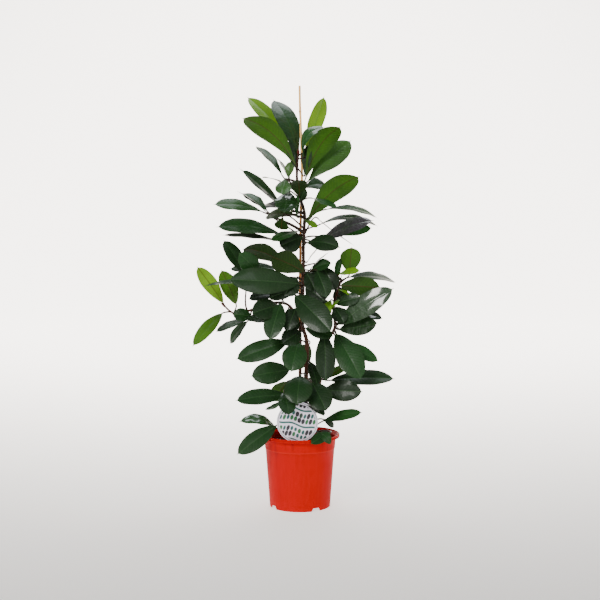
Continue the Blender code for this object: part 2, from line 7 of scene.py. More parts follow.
import bpy
import numpy as np
from bpy.props import FloatProperty, FloatVectorProperty, IntProperty, PointerProperty
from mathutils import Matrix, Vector


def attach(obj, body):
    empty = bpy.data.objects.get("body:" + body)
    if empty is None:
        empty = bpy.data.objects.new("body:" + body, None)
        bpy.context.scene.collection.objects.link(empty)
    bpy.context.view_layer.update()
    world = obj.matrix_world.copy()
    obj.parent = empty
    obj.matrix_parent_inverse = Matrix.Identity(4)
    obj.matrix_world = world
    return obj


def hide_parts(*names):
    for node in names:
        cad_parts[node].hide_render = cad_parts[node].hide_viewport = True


bl_info = {
    "name": "Potted African Fig",
    "version": (1, 0, 0),
    "blender": (4, 5, 0),
    "location": "3D View > Sidebar > Fig",
    "description": "Makes the leaves, stems, pot, soil, cane and label of a potted African fig",
    "category": "Add Mesh",
}

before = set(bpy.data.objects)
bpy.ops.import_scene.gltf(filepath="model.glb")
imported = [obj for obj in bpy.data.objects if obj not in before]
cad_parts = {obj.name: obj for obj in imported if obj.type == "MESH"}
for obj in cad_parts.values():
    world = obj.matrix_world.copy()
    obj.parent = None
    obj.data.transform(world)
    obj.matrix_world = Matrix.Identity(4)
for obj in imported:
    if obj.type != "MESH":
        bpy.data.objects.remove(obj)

MM = 0.001

# The eye that the leaf tables are read from, and the point it looks at.
EYE_DISTANCE = 3200.0
EYE_HEIGHT = 800.0
AIM_HEIGHT = 609.5
LENS = 73.15
SHIFT_UP = -0.04

# Each stem's path from where it leaves the soil to its growing point, and its radius at both ends.
MAIN_PATH = (
    (16, 0, 176), (16, 0, 258), (16, 0, 340), (18, 0, 395), (17, 0, 440), (6, -1, 482),
    (6, -2, 540), (8, -2, 590), (9, -2, 640), (9, -2, 690), (11, -4, 738), (11, -4, 780),
    (-5, -3, 830), (-8, -2, 870), (-7, -2, 905), (-5, -2, 928),
)
LEFT_PATH = (
    (-10, 5, 176), (-5, 5, 262), (0, 4, 345), (1, 4, 430), (-3, 3, 485), (-31, 2, 533),
    (-80, -4, 538), (-125, -12, 522), (-165, -20, 512), (-182, -22, 518), (-196, -24, 531),
)
RIGHT_PATH = (
    (34, 14, 176), (40, 13, 250), (52, 11, 320), (60, 8, 385), (74, 0, 438), (91, -6, 473),
    (90, -8, 500), (87, -8, 530), (94, -6, 555), (104, -2, 588),
)
STEM_RADII = {"main": (6.0, 3.0), "left": (4.6, 2.4), "right": (4.6, 2.4)}
STEM_FOOT = 70.0

# A leaf row is: place on the stem (2.5 is halfway from path point 2 to 3), the blade's base x, y,
# z, its tip x, y, z, its width, how far its upper side is turned from the front in degrees, how
# high its midrib arches, how far each half is folded up in degrees, and its youth, from 0 for the
# oldest, darkest leaf to 1 for a new lime-green one, and below 0 for a painted violet-grey sheen.
MAIN_LEAVES = (
    (14.6, -10, 22, 944, -139, 100, 1078, 46, 30, 12, 14, 0.92),
    (14.2, -5, 14, 914, -71, 75, 1071, 66, 34, 26, 8, 0.32),
    (13.4, -10, -14, 898, -153, -70, 1023, 67, 148, 42, 8, 0.52),
    (14.8, 12, 4, 936, 63, 50, 1080, 48, 30, -6, 12, 1.0),
    (14.4, 11, -9, 921, 66, -24, 1000, 42, 54, 32, 12, 0.5),
    (12.6, 14, -14, 863, 107, -75, 1001, 68, 152, 38, 8, 0.48),
    (12.4, 20, 10, 857, 134, 55, 965, 68, 25, 10, 8, 0.58),
    (12.3, -46, 20, 872, -116, 80, 950, 46, 62, 8, 14, 0.4),
    (12.0, -26, 12, 852, -60, 50, 918, 38, 74, 6, 12, 0.2),
    (12.2, -30, 6, 866, -24, 12, 910, 26, 20, 3, 10, 0.6),
    (10.9, -40, -6, 784, -154, -40, 888, 48, 58, 4, 18, 0.22),
    (11.9, -44, 34, 852, -98, 110, 867, 34, 86, 5, 12, 0.3),
    (9.6, -84, 25, 778, -150, 70, 827, 46, 58, 6, 14, 0.42),
    (9.7, -96, -8, 777, -227, -45, 797, 50, 54, 12, 8, 0.52),
    (9.4, -48, -14, 718, -220, -70, 738, 60, 50, 17, 8, 0.28),
    (9.3, -50, 22, 700, -204, 60, 717, 50, 74, 6, 12, -0.3),
    (10.8, -44, 22, 788, -93, 80, 797, 40, 55, 4, 12, -0.3),
    (10.6, -12, -16, 767, -90, -60, 765, 60, 120, 10, 10, 0.12),
    (12.5, -40, -22, 864, -46, -100, 822, 42, 10, 4, 6, 0.55),
    (11.6, -28, -22, 832, -42, -112, 776, 60, 10, 6, 6, 0.2),
    (11.7, 0, -18, 812, -4, -84, 862, 46, 180, 8, 8, 0.08),
    (11.9, 10, -4, 840, 68, 16, 849, 46, 46, 8, 12, 0.18),
    (10.2, 18, -14, 754, 157, -70, 871, 72, 150, 32, 8, 0.48),
    (11.5, 30, -34, 814, 95, -92, 788, 34, 64, 4, 10, 0.45),
    (10.4, 66, 14, 784, 203, 60, 762, 44, 68, 16, 10, 0.38),
    (9.8, 50, 8, 744, 204, 40, 740, 46, 68, 24, 10, 0.18),
    (9.2, 42, -8, 690, 194, -66, 756, 58, 52, 16, 8, -0.5),
    (9.5, 46, 18, 762, 142, 90, 690, 36, 86, -3, 12, 0.12),
    (10.3, 12, -18, 757, 46, -40, 737, 18, 30, 3, 10, 0.75),
    (10.9, -22, -24, 776, -27, -42, 815, 16, 150, 3, 10, 0.7),
    (10.7, -8, -26, 766, -6, -46, 820, 16, 30, 3, 10, 0.5),
    (8.9, 18, -18, 697, 106, -72, 684, 50, 28, 16, 8, 0.08),
    (7.7, 30, -8, 626, 83, -24, 644, 36, 36, 6, 12, 0.22),
    (7.5, -56, 32, 628, -186, 66, 628, 46, 52, 6, 12, 0.14),
    (7.8, -36, -16, 638, -152, -60, 680, 58, 140, 18, 10, 0.06),
    (7.2, -104, -34, 612, -161, -96, 671, 50, 8, 6, 8, 0.4),
    (6.9, -2, -24, 589, -190, -110, 600, 70, 12, 10, 8, 0.18),
    (6.8, -60, 4, 594, -253, -92, 583, 36, 76, 8, 12, 0.3),
    (7.5, 12, -24, 620, -74, -100, 660, 64, 165, 10, 8, 0.1),
    (9.7, -2, -24, 728, -74, -85, 700, 44, 60, 6, 8, 0.38),
    (7.3, 44, -24, 624, 72, -62, 550, 46, 10, 8, 10, 0.12),
    (7.9, 60, 2, 636, 92, -22, 570, 50, 8, 6, 10, 0.03),
    (6.4, -14, -36, 560, 84, -112, 460, 74, 8, 10, 8, 0.16),
    (5.0, 14, -36, 472, 88, -80, 450, 36, 14, 4, 10, 0.12),
    (3.8, -4, -38, 436, -24, -96, 354, 66, 5, 10, 8, 0.32),
    (2.1, 1, -52, 346, -9, -122, 266, 74, 5, 12, 8, 0.24),
    (1.6, 14, -38, 292, -6, -72, 250, 34, 10, 4, 10, 0.1),
    (1.8, 32, -38, 328, 70, -105, 250, 66, 8, 8, 8, 0.15),
    (2.6, 26, -16, 384, 46, -50, 320, 36, 30, 4, 12, 0.06),
    (4.3, 2, -16, 464, -48, -54, 430, 50, 10, 6, 10, 0.08),
    (7.2, 24, 10, 600, 64, 34, 540, 52, 15, 8, 10, 0.05),
    (6.3, 26, 16, 556, 78, 44, 500, 52, 12, 8, 10, 0.05),
    (1.5, 18, -60, 274, 64, -112, 238, 36, 58, 4, 12, 0.05),
    (10.5, -44, 4, 786, -160, -20, 893, 40, 85, 4, 10, 0.2),
    (9.3, -84, 14, 774, -164, 40, 832, 36, 85, 4, 10, 0.2),
    (9.9, -46, -46, 764, -49, -82, 731, 38, 170, 4, 8, 0.05),
    (8.6, 6, -14, 712, -54, -50, 686, 62, 15, 8, 8, 0.08),
    (6.6, 14, -22, 582, 66, -54, 542, 50, 10, 6, 8, 0.03),
    (7.4, 16, -12, 620, 42, -40, 566, 40, 12, 5, 10, 0.06),
    (8.2, 18, -6, 646, 60, -18, 694, 30, 84, 3, 10, 0.1),
    (7.6, 22, -4, 622, 76, -12, 672, 30, 84, 3, 10, 0.1),
    (5.4, -10, -30, 526, -34, -62, 464, 40, 10, 5, 10, 0.05),
    (11.3, 0, -16, 806, 16, -36, 838, 26, 20, 4, 10, 0.1),
    (6.4, -4, -20, 578, -84, -40, 550, 34, 12, 5, 10, 0.04),
    (7.4, 20, 4, 616, 84, 2, 622, 26, 20, 4, 10, 0.05),
    (13.6, 12, -4, 872, 22, -8, 954, 28, 20, 2, 10, 0.12),
    (13.8, -10, -2, 888, -30, 6, 964, 26, 20, 2, 10, 0.12),
    (7.1, -8, -14, 606, -42, -40, 556, 52, 8, 5, 10, 0.05),
    (9.4, 84, 24, 716, 189, 46, 736, 32, 24, 6, 10, 0.46),
)
LEFT_LEAVES = (
    (7.3, -146, 14, 612, -201, 34, 704, 46, 28, 8, 14, 0.2),
    (10.0, -202, -28, 538, -271, -60, 635, 42, 165, 4, 10, 0.88),
    (8.3, -168, -20, 534, -207, -26, 626, 48, 160, 6, 10, 0.58),
    (8.9, -205, -26, 511, -284, -138, 423, 36, 15, 12, 10, 0.66),
    (6.8, -126, -20, 503, -178, -30, 508, 38, 20, 4, 12, 0.22),
    (5.2, -60, -6, 562, -136, -22, 548, 46, 52, 6, 10, 0.06),
    (5.5, -56, -24, 532, -128, -88, 510, 58, 12, 8, 10, 0.12),
    (6.6, -138, 0, 496, -222, -40, 461, 36, 58, 6, 8, 0.3),
    (7.0, -138, 20, 490, -185, 40, 430, 38, 50, 6, 12, 0.35),
    (5.2, -50, -36, 538, -80, -92, 439, 56, 12, 8, 12, 0.22),
    (3.0, -30, -4, 438, -170, -60, 389, 54, 10, 4, 8, 0.28),
    (2.4, -26, -6, 362, -131, -70, 344, 60, 5, 6, 8, 0.24),
    (1.8, -34, 12, 330, -72, 50, 276, 46, 170, 5, 10, 0.5),
    (1.3, -36, -26, 295, -171, -70, 279, 48, 28, 8, 10, 0.22),
    (1.2, -46, -34, 281, -92, -52, 255, 26, 62, -4, 10, 0.5),
    (1.45, -42, -74, 301, -29, -128, 240, 46, 12, 5, 10, 0.2),
    (0.2, -62, -50, 213, -168, -112, 135, 48, 8, 8, 8, 0.28),
    (0.3, -64, -28, 207, -161, -60, 223, 40, 50, 20, 8, 0.48),
    (4.9, -30, 2, 526, -20, -12, 452, 46, 10, 6, 12, 0.1),
    (6.3, -86, -22, 488, -146, -34, 497, 34, 56, 5, 10, 0.12),
)
RIGHT_LEAVES = (
    (9.2, 130, -12, 615, 136, -40, 686, 56, 174, 6, 8, 0.52),
    (9.4, 99, -12, 602, 108, -22, 657, 28, 50, 5, 12, 0.3),
    (1.7, 60, -12, 306, 166, -45, 303, 56, 8, 6, 8, 0.1),
    (2.2, 78, -4, 333, 252, -30, 337, 56, 42, 8, 12, 0.16),
    (4.7, 94, -24, 458, 163, -95, 334, 70, 8, 10, 8, 0.3),
    (4.6, 104, 4, 436, 208, -20, 383, 40, 28, 4, 10, 0.4),
    (4.3, 64, -28, 460, 68, -82, 328, 54, 5, 8, 10, 0.1),
    (2.5, 74, -8, 340, 124, -26, 372, 26, 150, 5, 12, 0.5),
    (5.0, 102, -16, 468, 205, -62, 486, 50, 15, -6, 12, 0.15),
    (5.3, 146, 4, 502, 218, -18, 496, 30, 40, 12, 14, 0.12),
    (5.3, 98, -26, 480, 248, -60, 578, 60, 16, 12, 8, 0.26),
    (8.7, 104, -16, 584, 214, -54, 577, 54, 165, 8, 8, 0.16),
    (9.0, 128, 12, 606, 252, 128, 593, 46, 62, 12, 12, 0.32),
    (9.3, 102, -26, 614, 158, -60, 622, 28, 50, 5, 12, 0.88),
    (7.5, 81, -18, 546, 62, -40, 499, 28, 15, 4, 12, 0.85),
    (8.6, 102, -22, 574, 130, -38, 559, 12, 60, 3, 12, 0.8),
    (8.2, 106, -24, 549, 86, -34, 526, 12, 50, 3, 12, 0.75),
    (0.3, 64, -24, 226, 165, -50, 248, 34, 36, 6, 10, 0.42),
    (0.6, 62, -10, 229, 90, 6, 209, 20, 30, 4, 12, 0.15),
    (0.2, 80, -56, 194, 28, -112, 163, 30, 15, 6, 8, 0.2),
    (0.1, 50, -68, 194, 82, -88, 162, 26, 22, 14, 8, 0.32),
    (8.0, 94, -22, 536, 160, -46, 554, 36, 20, 5, 10, 0.12),
    (7.0, 92, -16, 528, 116, -48, 486, 44, 10, 5, 10, 0.08),
    (8.4, 98, 6, 582, 112, 10, 540, 44, 10, 4, 10, 0.04),
)

# Leaves at the back of a stem: the number of the front leaf that hides each, and how far its base
# is moved sideways to pass the cane.
MAIN_PARTNERS = (
    (2, 0), (14, 0), (18, 0), (22, 0), (26, 0), (36, -18), (38, 0), (42, 16), (44, 30),
    (45, 34), (47, 10),
)
LEFT_PARTNERS = ((6, 0), (9, 0), (10, 0), (11, -12))
RIGHT_PARTNERS = ((2, 0), (4, 0), (6, 0), (8, 0), (10, 0), (11, 0))
PARTNER_SIZE = 0.86
PARTNER_CENTRE = 0.6
PARTNER_DEPTH = 1.1
PARTNER_SHIFT = 12.0
PARTNER_PLACE = 0.12

# Bamboo cane, as a path with its radius at both ends and the heights of its nodes.
CANE_PATH = (
    (0, 20, 200), (0, 18, 340), (0, 16, 500), (1, 13, 690), (3, 11, 800), (5, 10, 870),
    (4, 10, 930), (2, 10, 1000), (0, 10, 1050), (-1, 10, 1107),
)
CANE_RADII = (4.4, 2.9)
CANE_NODES = (1040.0, 930.0, 790.0, 640.0, 300.0)


def linear(red, green, blue):
    """A colour given as it looks on a screen, from 0 to 255, as the linear light it stands for."""
    return tuple(
        share / 12.92 if share <= 0.04045 else ((share + 0.055) / 1.055) ** 2.4
        for share in (red / 255, green / 255, blue / 255)
    )


def tint(name, red, green, blue):
    """A colour property with its default given as it looks on a screen."""
    return FloatVectorProperty(
        name=name, subtype="COLOR", size=3, min=0.0, max=1.0, default=linear(red, green, blue),
    )


def length(name, default):
    """A length property in metres, with its default given in millimetres."""
    return FloatProperty(name=name, unit="LENGTH", default=default * MM, min=0.0, max=1.0, precision=4)


def tally(name, default, low, high):
    """A property that counts sections or pieces."""
    return IntProperty(name=name, default=default, min=low, max=high)


class LeafSettings(bpy.types.PropertyGroup):
    """Sizes and colours of the leaves and stems."""

    stations: tally("Cross sections along a blade", 30, 8, 80)
    stalk_stations: tally("Cross sections along a stalk", 7, 3, 20)
    thickness: length("Thickness of a blade between its veins", 0.55)
    edge: length("Thickness of a blade at its margin", 0.35)
    rib: length("How far the midrib stands out of the underside", 1.3)
    wave: length("Height of the waves along a blade's margin", 0.8)
    vein_spacing: length("Distance between side veins along the midrib", 9.5)
    # Painted sheen: a violet-grey base colour that stands for the sheen on a few upturned leaves.
    flush: tint("Leaves with a violet flush", 44, 38, 46)
    old_upper: tint("Upper side of the oldest leaves", 12, 25, 10)
    old_under: tint("Underside of the oldest leaves", 22, 44, 10)
    mid_upper: tint("Upper side of grown leaves", 30, 75, 27)
    mid_under: tint("Underside of grown leaves", 52, 94, 12)
    new_upper: tint("Upper side of new leaves", 112, 158, 16)
    new_under: tint("Underside of new leaves", 116, 162, 16)
    rib_upper: tint("Midrib seen from above", 58, 92, 50)
    rib_under: tint("Midrib seen from below", 66, 46, 20)
    stalk: tint("Leaf stalks", 46, 30, 22)
    bark_low: tint("Bark at the foot of a stem", 84, 44, 26)
    bark_high: tint("Skin of a stem near its growing point", 44, 16, 13)
    bud: tint("Buds and pointed scales", 84, 28, 18)


class PotSettings(bpy.types.PropertyGroup):
    """Sizes and colours of the pot and its soil."""

    sides: tally("Sections round the pot", 192, 24, 512)
    wall: length("Thickness of the pot's wall", 2.0)
    lip_height: length("Height of the rolled lip", 9.0)
    ridge: length("How far the ridge under the collar stands out", 1.5)
    red: tint("Plastic", 186, 8, 8)
    red_worn: tint("Plastic where it is rubbed", 214, 52, 30)
    soil_dark: tint("Damp soil", 44, 30, 22)
    soil_light: tint("Dry crumbs and fibres", 104, 76, 54)
    crumbs: tally("Loose crumbs on the soil", 520, 0, 3000)


class CaneSettings(bpy.types.PropertyGroup):
    """Sizes and colours of the cane."""

    sides: tally("Sections round the cane", 24, 8, 64)
    swell: length("How far a node stands out", 0.7)
    pale: tint("Bamboo between its nodes", 255, 206, 124)
    # The tan of the lower part is painted shade.
    tan: tint("Streaks and the lower part", 240, 142, 64)
    node: tint("Scar at a node", 120, 76, 42)


class LabelSettings(bpy.types.PropertyGroup):
    """Sizes and colours of the plant label."""

    card: tint("Card", 240, 234, 252)
    teal: tint("First ink", 0, 84, 76)
    green: tint("Second ink", 0, 98, 36)
    black: tint("Third ink", 4, 6, 8)
    row_height: length("Distance between printed rows", 14.0)
    mark_spacing: length("Distance between marks in a row", 9.6)


class StageSettings(bpy.types.PropertyGroup):
    """The studio round the plant."""

    floor: tint("Floor and backdrop", 180, 179, 177)
    radius: FloatProperty(name="Radius of the flat floor", default=5.0, unit="LENGTH")
    cove: FloatProperty(name="Radius of the bend up to the wall", default=2.5, unit="LENGTH")
    power: FloatProperty(name="Power of the lights", default=1.0, min=0.0, max=10.0)


class Value:
    """A node socket that Python's operators do arithmetic on, by adding Math nodes."""

    def __init__(self, shader, socket):
        self.shader = shader
        self.socket = socket

    def math(self, operation, *others, first=None):
        """A Math node of this value, or of a first one, and others."""
        values = [self if first is None else first, *others]
        return self.shader.add("Math", {"operation": operation}, *values)

    def __add__(self, other):
        return self.math("ADD", other)

    def __sub__(self, other):
        return self.math("SUBTRACT", other)

    def __rsub__(self, other):
        return self.math("SUBTRACT", self, first=other)

    def __mul__(self, other):
        return self.math("MULTIPLY", other)

    def __truediv__(self, other):
        return self.math("DIVIDE", other)

    def __pow__(self, other):
        return self.math("POWER", other)

    __radd__ = __add__
    __rmul__ = __mul__

    def step(self, low, high):
        """Rises smoothly from 0 at low to 1 at high, or falls where low is the greater."""
        ends = {"From_Min": min(low, high), "From_Max": max(low, high)}
        rise = self.shader.add("MapRange", {"interpolation_type": "SMOOTHSTEP"}, Value=self, **ends)
        return rise if low < high else 1 - rise


class Shader:
    """A material's node tree, with one method that adds any node."""

    def __init__(self, name):
        self.material = bpy.data.materials.new(name)
        self.material.use_nodes = True
        self.tree = self.material.node_tree
        self.surface = self.tree.nodes["Principled BSDF"]

    def add(self, kind, settings=None, *values, out=0, **named):
        """Adds a shader node, sets its settings, then its sockets by order or by name, where a
        name's underscores stand for spaces, and gives the output socket wanted."""
        node = self.tree.nodes.new(f"ShaderNode{kind}")
        for key, value in (settings or {}).items():
            setattr(node, key, value)
        for key, value in [*enumerate(values), *((k.replace("_", " "), v) for k, v in named.items())]:
            self.put(node.inputs[key], value)
        return Value(self, node.outputs[out])

    def put(self, socket, value):
        """Links a value to a socket, or sets the socket to a number or a colour."""
        if isinstance(value, Value):
            self.tree.links.new(value.socket, socket)
        elif socket.type == "RGBA":
            socket.default_value = (*value[:3], 1.0)
        else:
            socket.default_value = value

    def mix(self, share, first, second, blend="MIX"):
        """A colour between two colours. The node's colours are its sockets 6 and 7."""
        node = self.tree.nodes.new("ShaderNodeMix")
        node.data_type = "RGBA"
        node.blend_type = blend
        for key, value in ((0, share), (6, first), (7, second)):
            self.put(node.inputs[key], value)
        return Value(self, node.outputs[2])

    def layers(self, base, *layers):
        """A colour with layers over it, each given as its share and its colour."""
        for share, colour in layers:
            base = self.mix(share, base, colour)
        return base

    def noise(self, where, scale, detail=3.0, roughness=0.5, stretch=(1, 1, 1)):
        """Noise from about 0 to 1 over places in metres, with this many lumps to the metre."""
        if stretch != (1, 1, 1):
            where = self.add("Mapping", None, Vector=where, Scale=stretch)
        return self.add("TexNoise", None, Vector=where, Scale=scale, Detail=detail, Roughness=roughness)

    def place(self):
        """Object coordinates."""
        return self.add("TexCoord", None, out="Object")

    def attribute(self, name, out):
        """A mesh attribute, as Color, Vector or Fac."""
        return self.add("Attribute", {"attribute_name": name}, out=out)

    def axes(self, where):
        """The three numbers of a place."""
        node = self.tree.nodes.new("ShaderNodeSeparateXYZ")
        self.put(node.inputs[0], where)
        return [Value(self, output) for output in node.outputs]

    def bump(self, height, distance):
        """A normal from a height from 0 to 1 and the distance that 1 stands for."""
        return self.add("Bump", None, Height=height, Distance=distance)

    def finish(self, **sockets):
        """Sets the surface's own sockets and gives the material."""
        for key, value in sockets.items():
            self.put(self.surface.inputs[key.replace("_", " ")], value)
        return self.material


def smooth(share):
    """0 below 0, 1 above 1, and a smooth rise between."""
    share = np.clip(share, 0.0, 1.0)
    return share * share * (3 - 2 * share)


def unit(vectors):
    """Vectors of length one."""
    return vectors / np.linalg.norm(vectors, axis=-1, keepdims=True)


def on_sight_line(x, y, z):
    """Moves places seen at x, z in the plane of the pot's axis along the line of sight to depth y:
    both offsets from the eye grow with the distance."""
    nearness = (EYE_DISTANCE + y) / EYE_DISTANCE
    return np.stack([x * nearness, y, EYE_HEIGHT + (z - EYE_HEIGHT) * nearness], axis=-1)


def along_path(path, places):
    """Points at places on a Catmull-Rom curve, the cubic through four neighbouring path points,
    that leaves the soil upright."""
    points = np.array(path, float)
    below = points[0] - (0, 0, points[1][2] - points[0][2])
    beyond = 2 * points[-1] - points[-2]
    points = np.vstack([below, points, beyond])
    span = np.clip(np.asarray(places).astype(int), 0, len(path) - 2)
    t = (np.asarray(places, float) - span)[..., None]
    before, start, end, after = (points[span + step] for step in range(4))
    return 0.5 * (
        2 * start + (end - before) * t + (2 * before - 5 * start + 4 * end - after) * t ** 2
        + (3 * start - before - 3 * end + after) * t ** 3
    )


def circle(count):
    """Angles at equal steps round a circle."""
    return np.arange(count) * 2 * math.pi / count


def loft_faces(rings, around, copies=1, first=0, capped=True):
    """Four-sided faces between rings of equal size, and a flat cap on each end, for copies that
    follow each other. Face k of ring r joins points k and k + 1 of that ring to the same points of
    the next."""
    start = np.arange((rings - 1) * around)
    after = start + np.where(start % around == around - 1, 1 - around, 1)
    sides = np.stack([start, after, after + around, start + around], axis=1)
    offset = first + rings * around * np.arange(copies)[:, None, None]
    faces = (sides + offset).reshape(-1, 4).tolist()
    if capped:
        foot = np.arange(around)
        caps = np.stack([foot[::-1], foot + (rings - 1) * around])
        faces += (caps + offset).reshape(-1, around).tolist()
    return faces


def rings_round(centres, radii, sides):
    """Rings round an upright or leaning path: centre + radius (cos a * side + sin a * front), with
    side level and both square to the path."""
    ahead = unit(np.gradient(centres, axis=0))
    side = unit(np.cross((0.0, 1.0, 0.0), ahead))
    front = np.cross(ahead, side)
    angles = circle(sides)[:, None]
    ring = np.cos(angles) * side[:, None] + np.sin(angles) * front[:, None]
    return centres[:, None] + np.asarray(radii)[:, None, None] * ring


def make_piece(name, points, faces, materials, nodes, angle=50.0):
    """A shown piece from points in millimetres, which rides on the plant and stands for nodes."""
    mesh = bpy.data.meshes.new(name)
    mesh.from_pydata((np.asarray(points, float).reshape(-1, 3) * MM).tolist(), [], faces)
    for material in materials:
        mesh.materials.append(material)
    mesh.shade_smooth()
    mesh.set_sharp_from_angle(angle=math.radians(angle))
    piece = bpy.data.objects.new(name, mesh)
    bpy.context.scene.collection.objects.link(piece)
    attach(piece, "root")
    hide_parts(*nodes)
    return piece


def add_attribute(mesh, name, kind, values):
    """Stores values for the last points of a mesh, and zeros for the points before them."""
    key, width = {"FLOAT": ("value", 1), "FLOAT_VECTOR": ("vector", 3), "FLOAT_COLOR": ("color", 4)}[kind]
    values = np.asarray(values, np.float32).reshape(-1, width)
    every = np.zeros((len(mesh.vertices), width), np.float32)
    every[len(every) - len(values):] = values
    mesh.attributes.new(name, kind, "POINT").data.foreach_set(key, every.ravel())


# Leaves and stems

SECTION = np.array((-1, -0.86, -0.66, -0.46, -0.28, -0.14, -0.05, 0, 0.05, 0.14, 0.28, 0.46, 0.66, 0.86, 1))
STALK_RADIUS = 1.9
END_CROWDING = 0.085
BLADE_START = 0.07
DRIP_TIP_SHARE = 0.045
WIDEST_AT = 1.25
BASE_POWER = 0.6
TIP_POWER = 0.5
WEDGE_HEIGHTS = (520.0, 800.0)
WEDGE_POWER = 0.14
WEDGE_SHIFT = 0.28
MARGIN_SINK = 0.13
GROOVE_DEPTH = 0.35
GROOVE_WIDTH = 1.1
RIB_WIDTH = 1.5
FULL_WAVE_HALF_WIDTH = 20.0
YOUTH_STOPS = (-0.5, 0, 0.5, 1)
STEM_SIDES = 16
STEM_STEP = 5.0
SWELL_HEIGHT, SWELL_LENGTH = 0.55, 3.0
SCAR_DEPTH, SCAR_LENGTH, SCAR_PLACE = 0.25, 1.2, 0.06
BUD_LENGTH = 16.0
BUD_SHARES = np.array((0.15, 0.3, 0.45, 0.6, 0.75, 0.88, 0.96, 1.0))
BUD_RADII = np.array((1.25, 1.3, 1.2, 1.0, 0.72, 0.42, 0.2, 0.06))
SCALE_RADII = np.array((1.0, 1.25, 1.2, 1.0, 0.72, 0.4, 0.08))
SCALE_SIDES = 8
BARK, LEAF = 0, 1
STEM_SEEDS = {"main": 11, "left": 23, "right": 37}
# How much the shiniest leaves shine, by stem and number.
GLOSSY = {
    "main": {1: 0.2, 4: 0.4, 6: 0.1, 10: 0.8, 19: 1.0, 26: 0.8}, "left": {15: 1.0, 17: 1.0},
    "right": {8: 1.0, 9: 1.0, 10: 1.0},
}


def all_rows(leaves, partners):
    """Every leaf of a stem, as an array: the table's leaves, then a partner behind some of them,
    which lies as deep behind the stem as the front leaf lies before it, and is a little smaller."""
    rows = np.array(leaves, float)
    which = [number for number, _ in partners]
    sideways = np.array([shift for _, shift in partners], float)
    back = rows[which]
    base, tip = back[:, 1:4].copy(), back[:, 4:7].copy()
    centre = base + (tip - base) * PARTNER_CENTRE
    base = centre + (base - centre) * PARTNER_SIZE
    tip = centre + (tip - centre) * PARTNER_SIZE
    base[:, 1] = -base[:, 1] * PARTNER_DEPTH + PARTNER_SHIFT
    tip[:, 1] = -tip[:, 1] * PARTNER_DEPTH + PARTNER_SHIFT
    base[:, 0] += sideways
    back[:, 0] += PARTNER_PLACE
    back[:, 1:4], back[:, 4:7] = base, tip
    back[:, 7] *= PARTNER_SIZE
    back[:, 8] = 180.0 - back[:, 8]
    return np.vstack([rows, back])


def half_width(share, width, wedge):
    """Half of a blade's width at a share of its length: the power of a sine that is widest past
    the middle, joined as the root of a sum of squares to a narrow drip tip. With more wedge the
    base narrows more and the widest place lies further out."""
    along = np.minimum(share / (1 - DRIP_TIP_SHARE), 1.0)
    power = BASE_POWER + WEDGE_POWER * wedge
    power = power + (TIP_POWER - power) * smooth((along - 0.35) / 0.4)
    body = 0.5 * width * np.abs(np.sin(math.pi * along ** (WIDEST_AT + WEDGE_SHIFT * wedge))) ** power
    drip = 0.25 + (STALK_RADIUS - 0.25) * np.clip((1 - share) / (1.6 * DRIP_TIP_SHARE), 0, 1)
    return np.sqrt(body ** 2 + drip ** 2)


def leaf_axes(rows):
    """Base, tip and unit vectors along each blade, across it and out of its upper side. The upper
    side is turned from the line of sight round the line from base to tip."""
    base, tip = on_sight_line(*rows[:, 1:4].T), on_sight_line(*rows[:, 4:7].T)
    along = unit(tip - base)
    to_eye = unit(np.array((0.0, -EYE_DISTANCE, EYE_HEIGHT)) - base * (1, 0, 1))
    front = unit(to_eye - along * (to_eye * along).sum(1, keepdims=True))
    upright = np.cross(front, along) * np.where(along[:, :1] > 0, 1.0, -1.0)
    turn = np.radians(rows[:, 8:9])
    normal = np.cos(turn) * front + np.sin(turn) * upright
    return base, tip, along, np.cross(along, normal), normal


def round_section(radius):
    """Across and up of a stalk's cross section: a circle, upper half from left to right and lower
    half back again."""
    across = radius * np.sin(SECTION * math.pi / 2)
    up = np.maximum(radius * np.cos(SECTION * math.pi / 2), 0.12)
    return np.concatenate([across, across[::-1]]), np.concatenate([up, -up[::-1]])


def blade_sections(rows, share, leaf, random):
    """Across and up of every blade's cross sections, leaf by station by point. The halves rise by
    the fold from a rounded valley at the midrib, sink a little towards the margin and wave there.
    The underside lies a thickness lower, with the midrib as a rounded ridge that fades to the tip."""
    count = len(rows)
    wedge = smooth((rows[:, 3:4] - WEDGE_HEIGHTS[0]) / (WEDGE_HEIGHTS[1] - WEDGE_HEIGHTS[0]))
    half = half_width(share[None, :], rows[:, 7:8], wedge)[:, :, None]
    fold = np.radians(rows[:, 10])[:, None, None]
    v = SECTION[None, None, :]
    size = np.abs(v)
    phase = random.uniform(0, 2 * math.pi, (count, 1, 2))
    waves = random.uniform(2.0, 3.6, (count, 1, 2))
    wave = np.sin(2 * math.pi * waves * share[None, :, None] + phase)
    wave = np.where(v < 0, wave[:, :, :1], wave[:, :, 1:]) * leaf.wave / MM
    across = half * v * np.cos(fold)
    lift = half * np.sin(fold) * (np.sqrt(size ** 2 + 0.01) - 0.1)
    fade = np.minimum(half / FULL_WAVE_HALF_WIDTH, 1.0)
    upper = lift - MARGIN_SINK * half * v ** 2 + wave * v ** 2 * fade
    groove = GROOVE_DEPTH * np.exp(-(across / GROOVE_WIDTH) ** 2) * fade
    middle, edge, rib = leaf.thickness / MM, leaf.edge / MM, leaf.rib / MM
    depth = edge + (middle - edge) * (1 - size ** 4)
    ridge = rib * (1 - share[None, :, None]) ** 0.8 * np.exp(-(across / RIB_WIDTH) ** 2)
    under = upper - depth - ridge
    rise = np.concatenate([upper - groove, under[:, :, ::-1]], axis=2)
    return np.concatenate([across, across[:, :, ::-1]], axis=2), rise


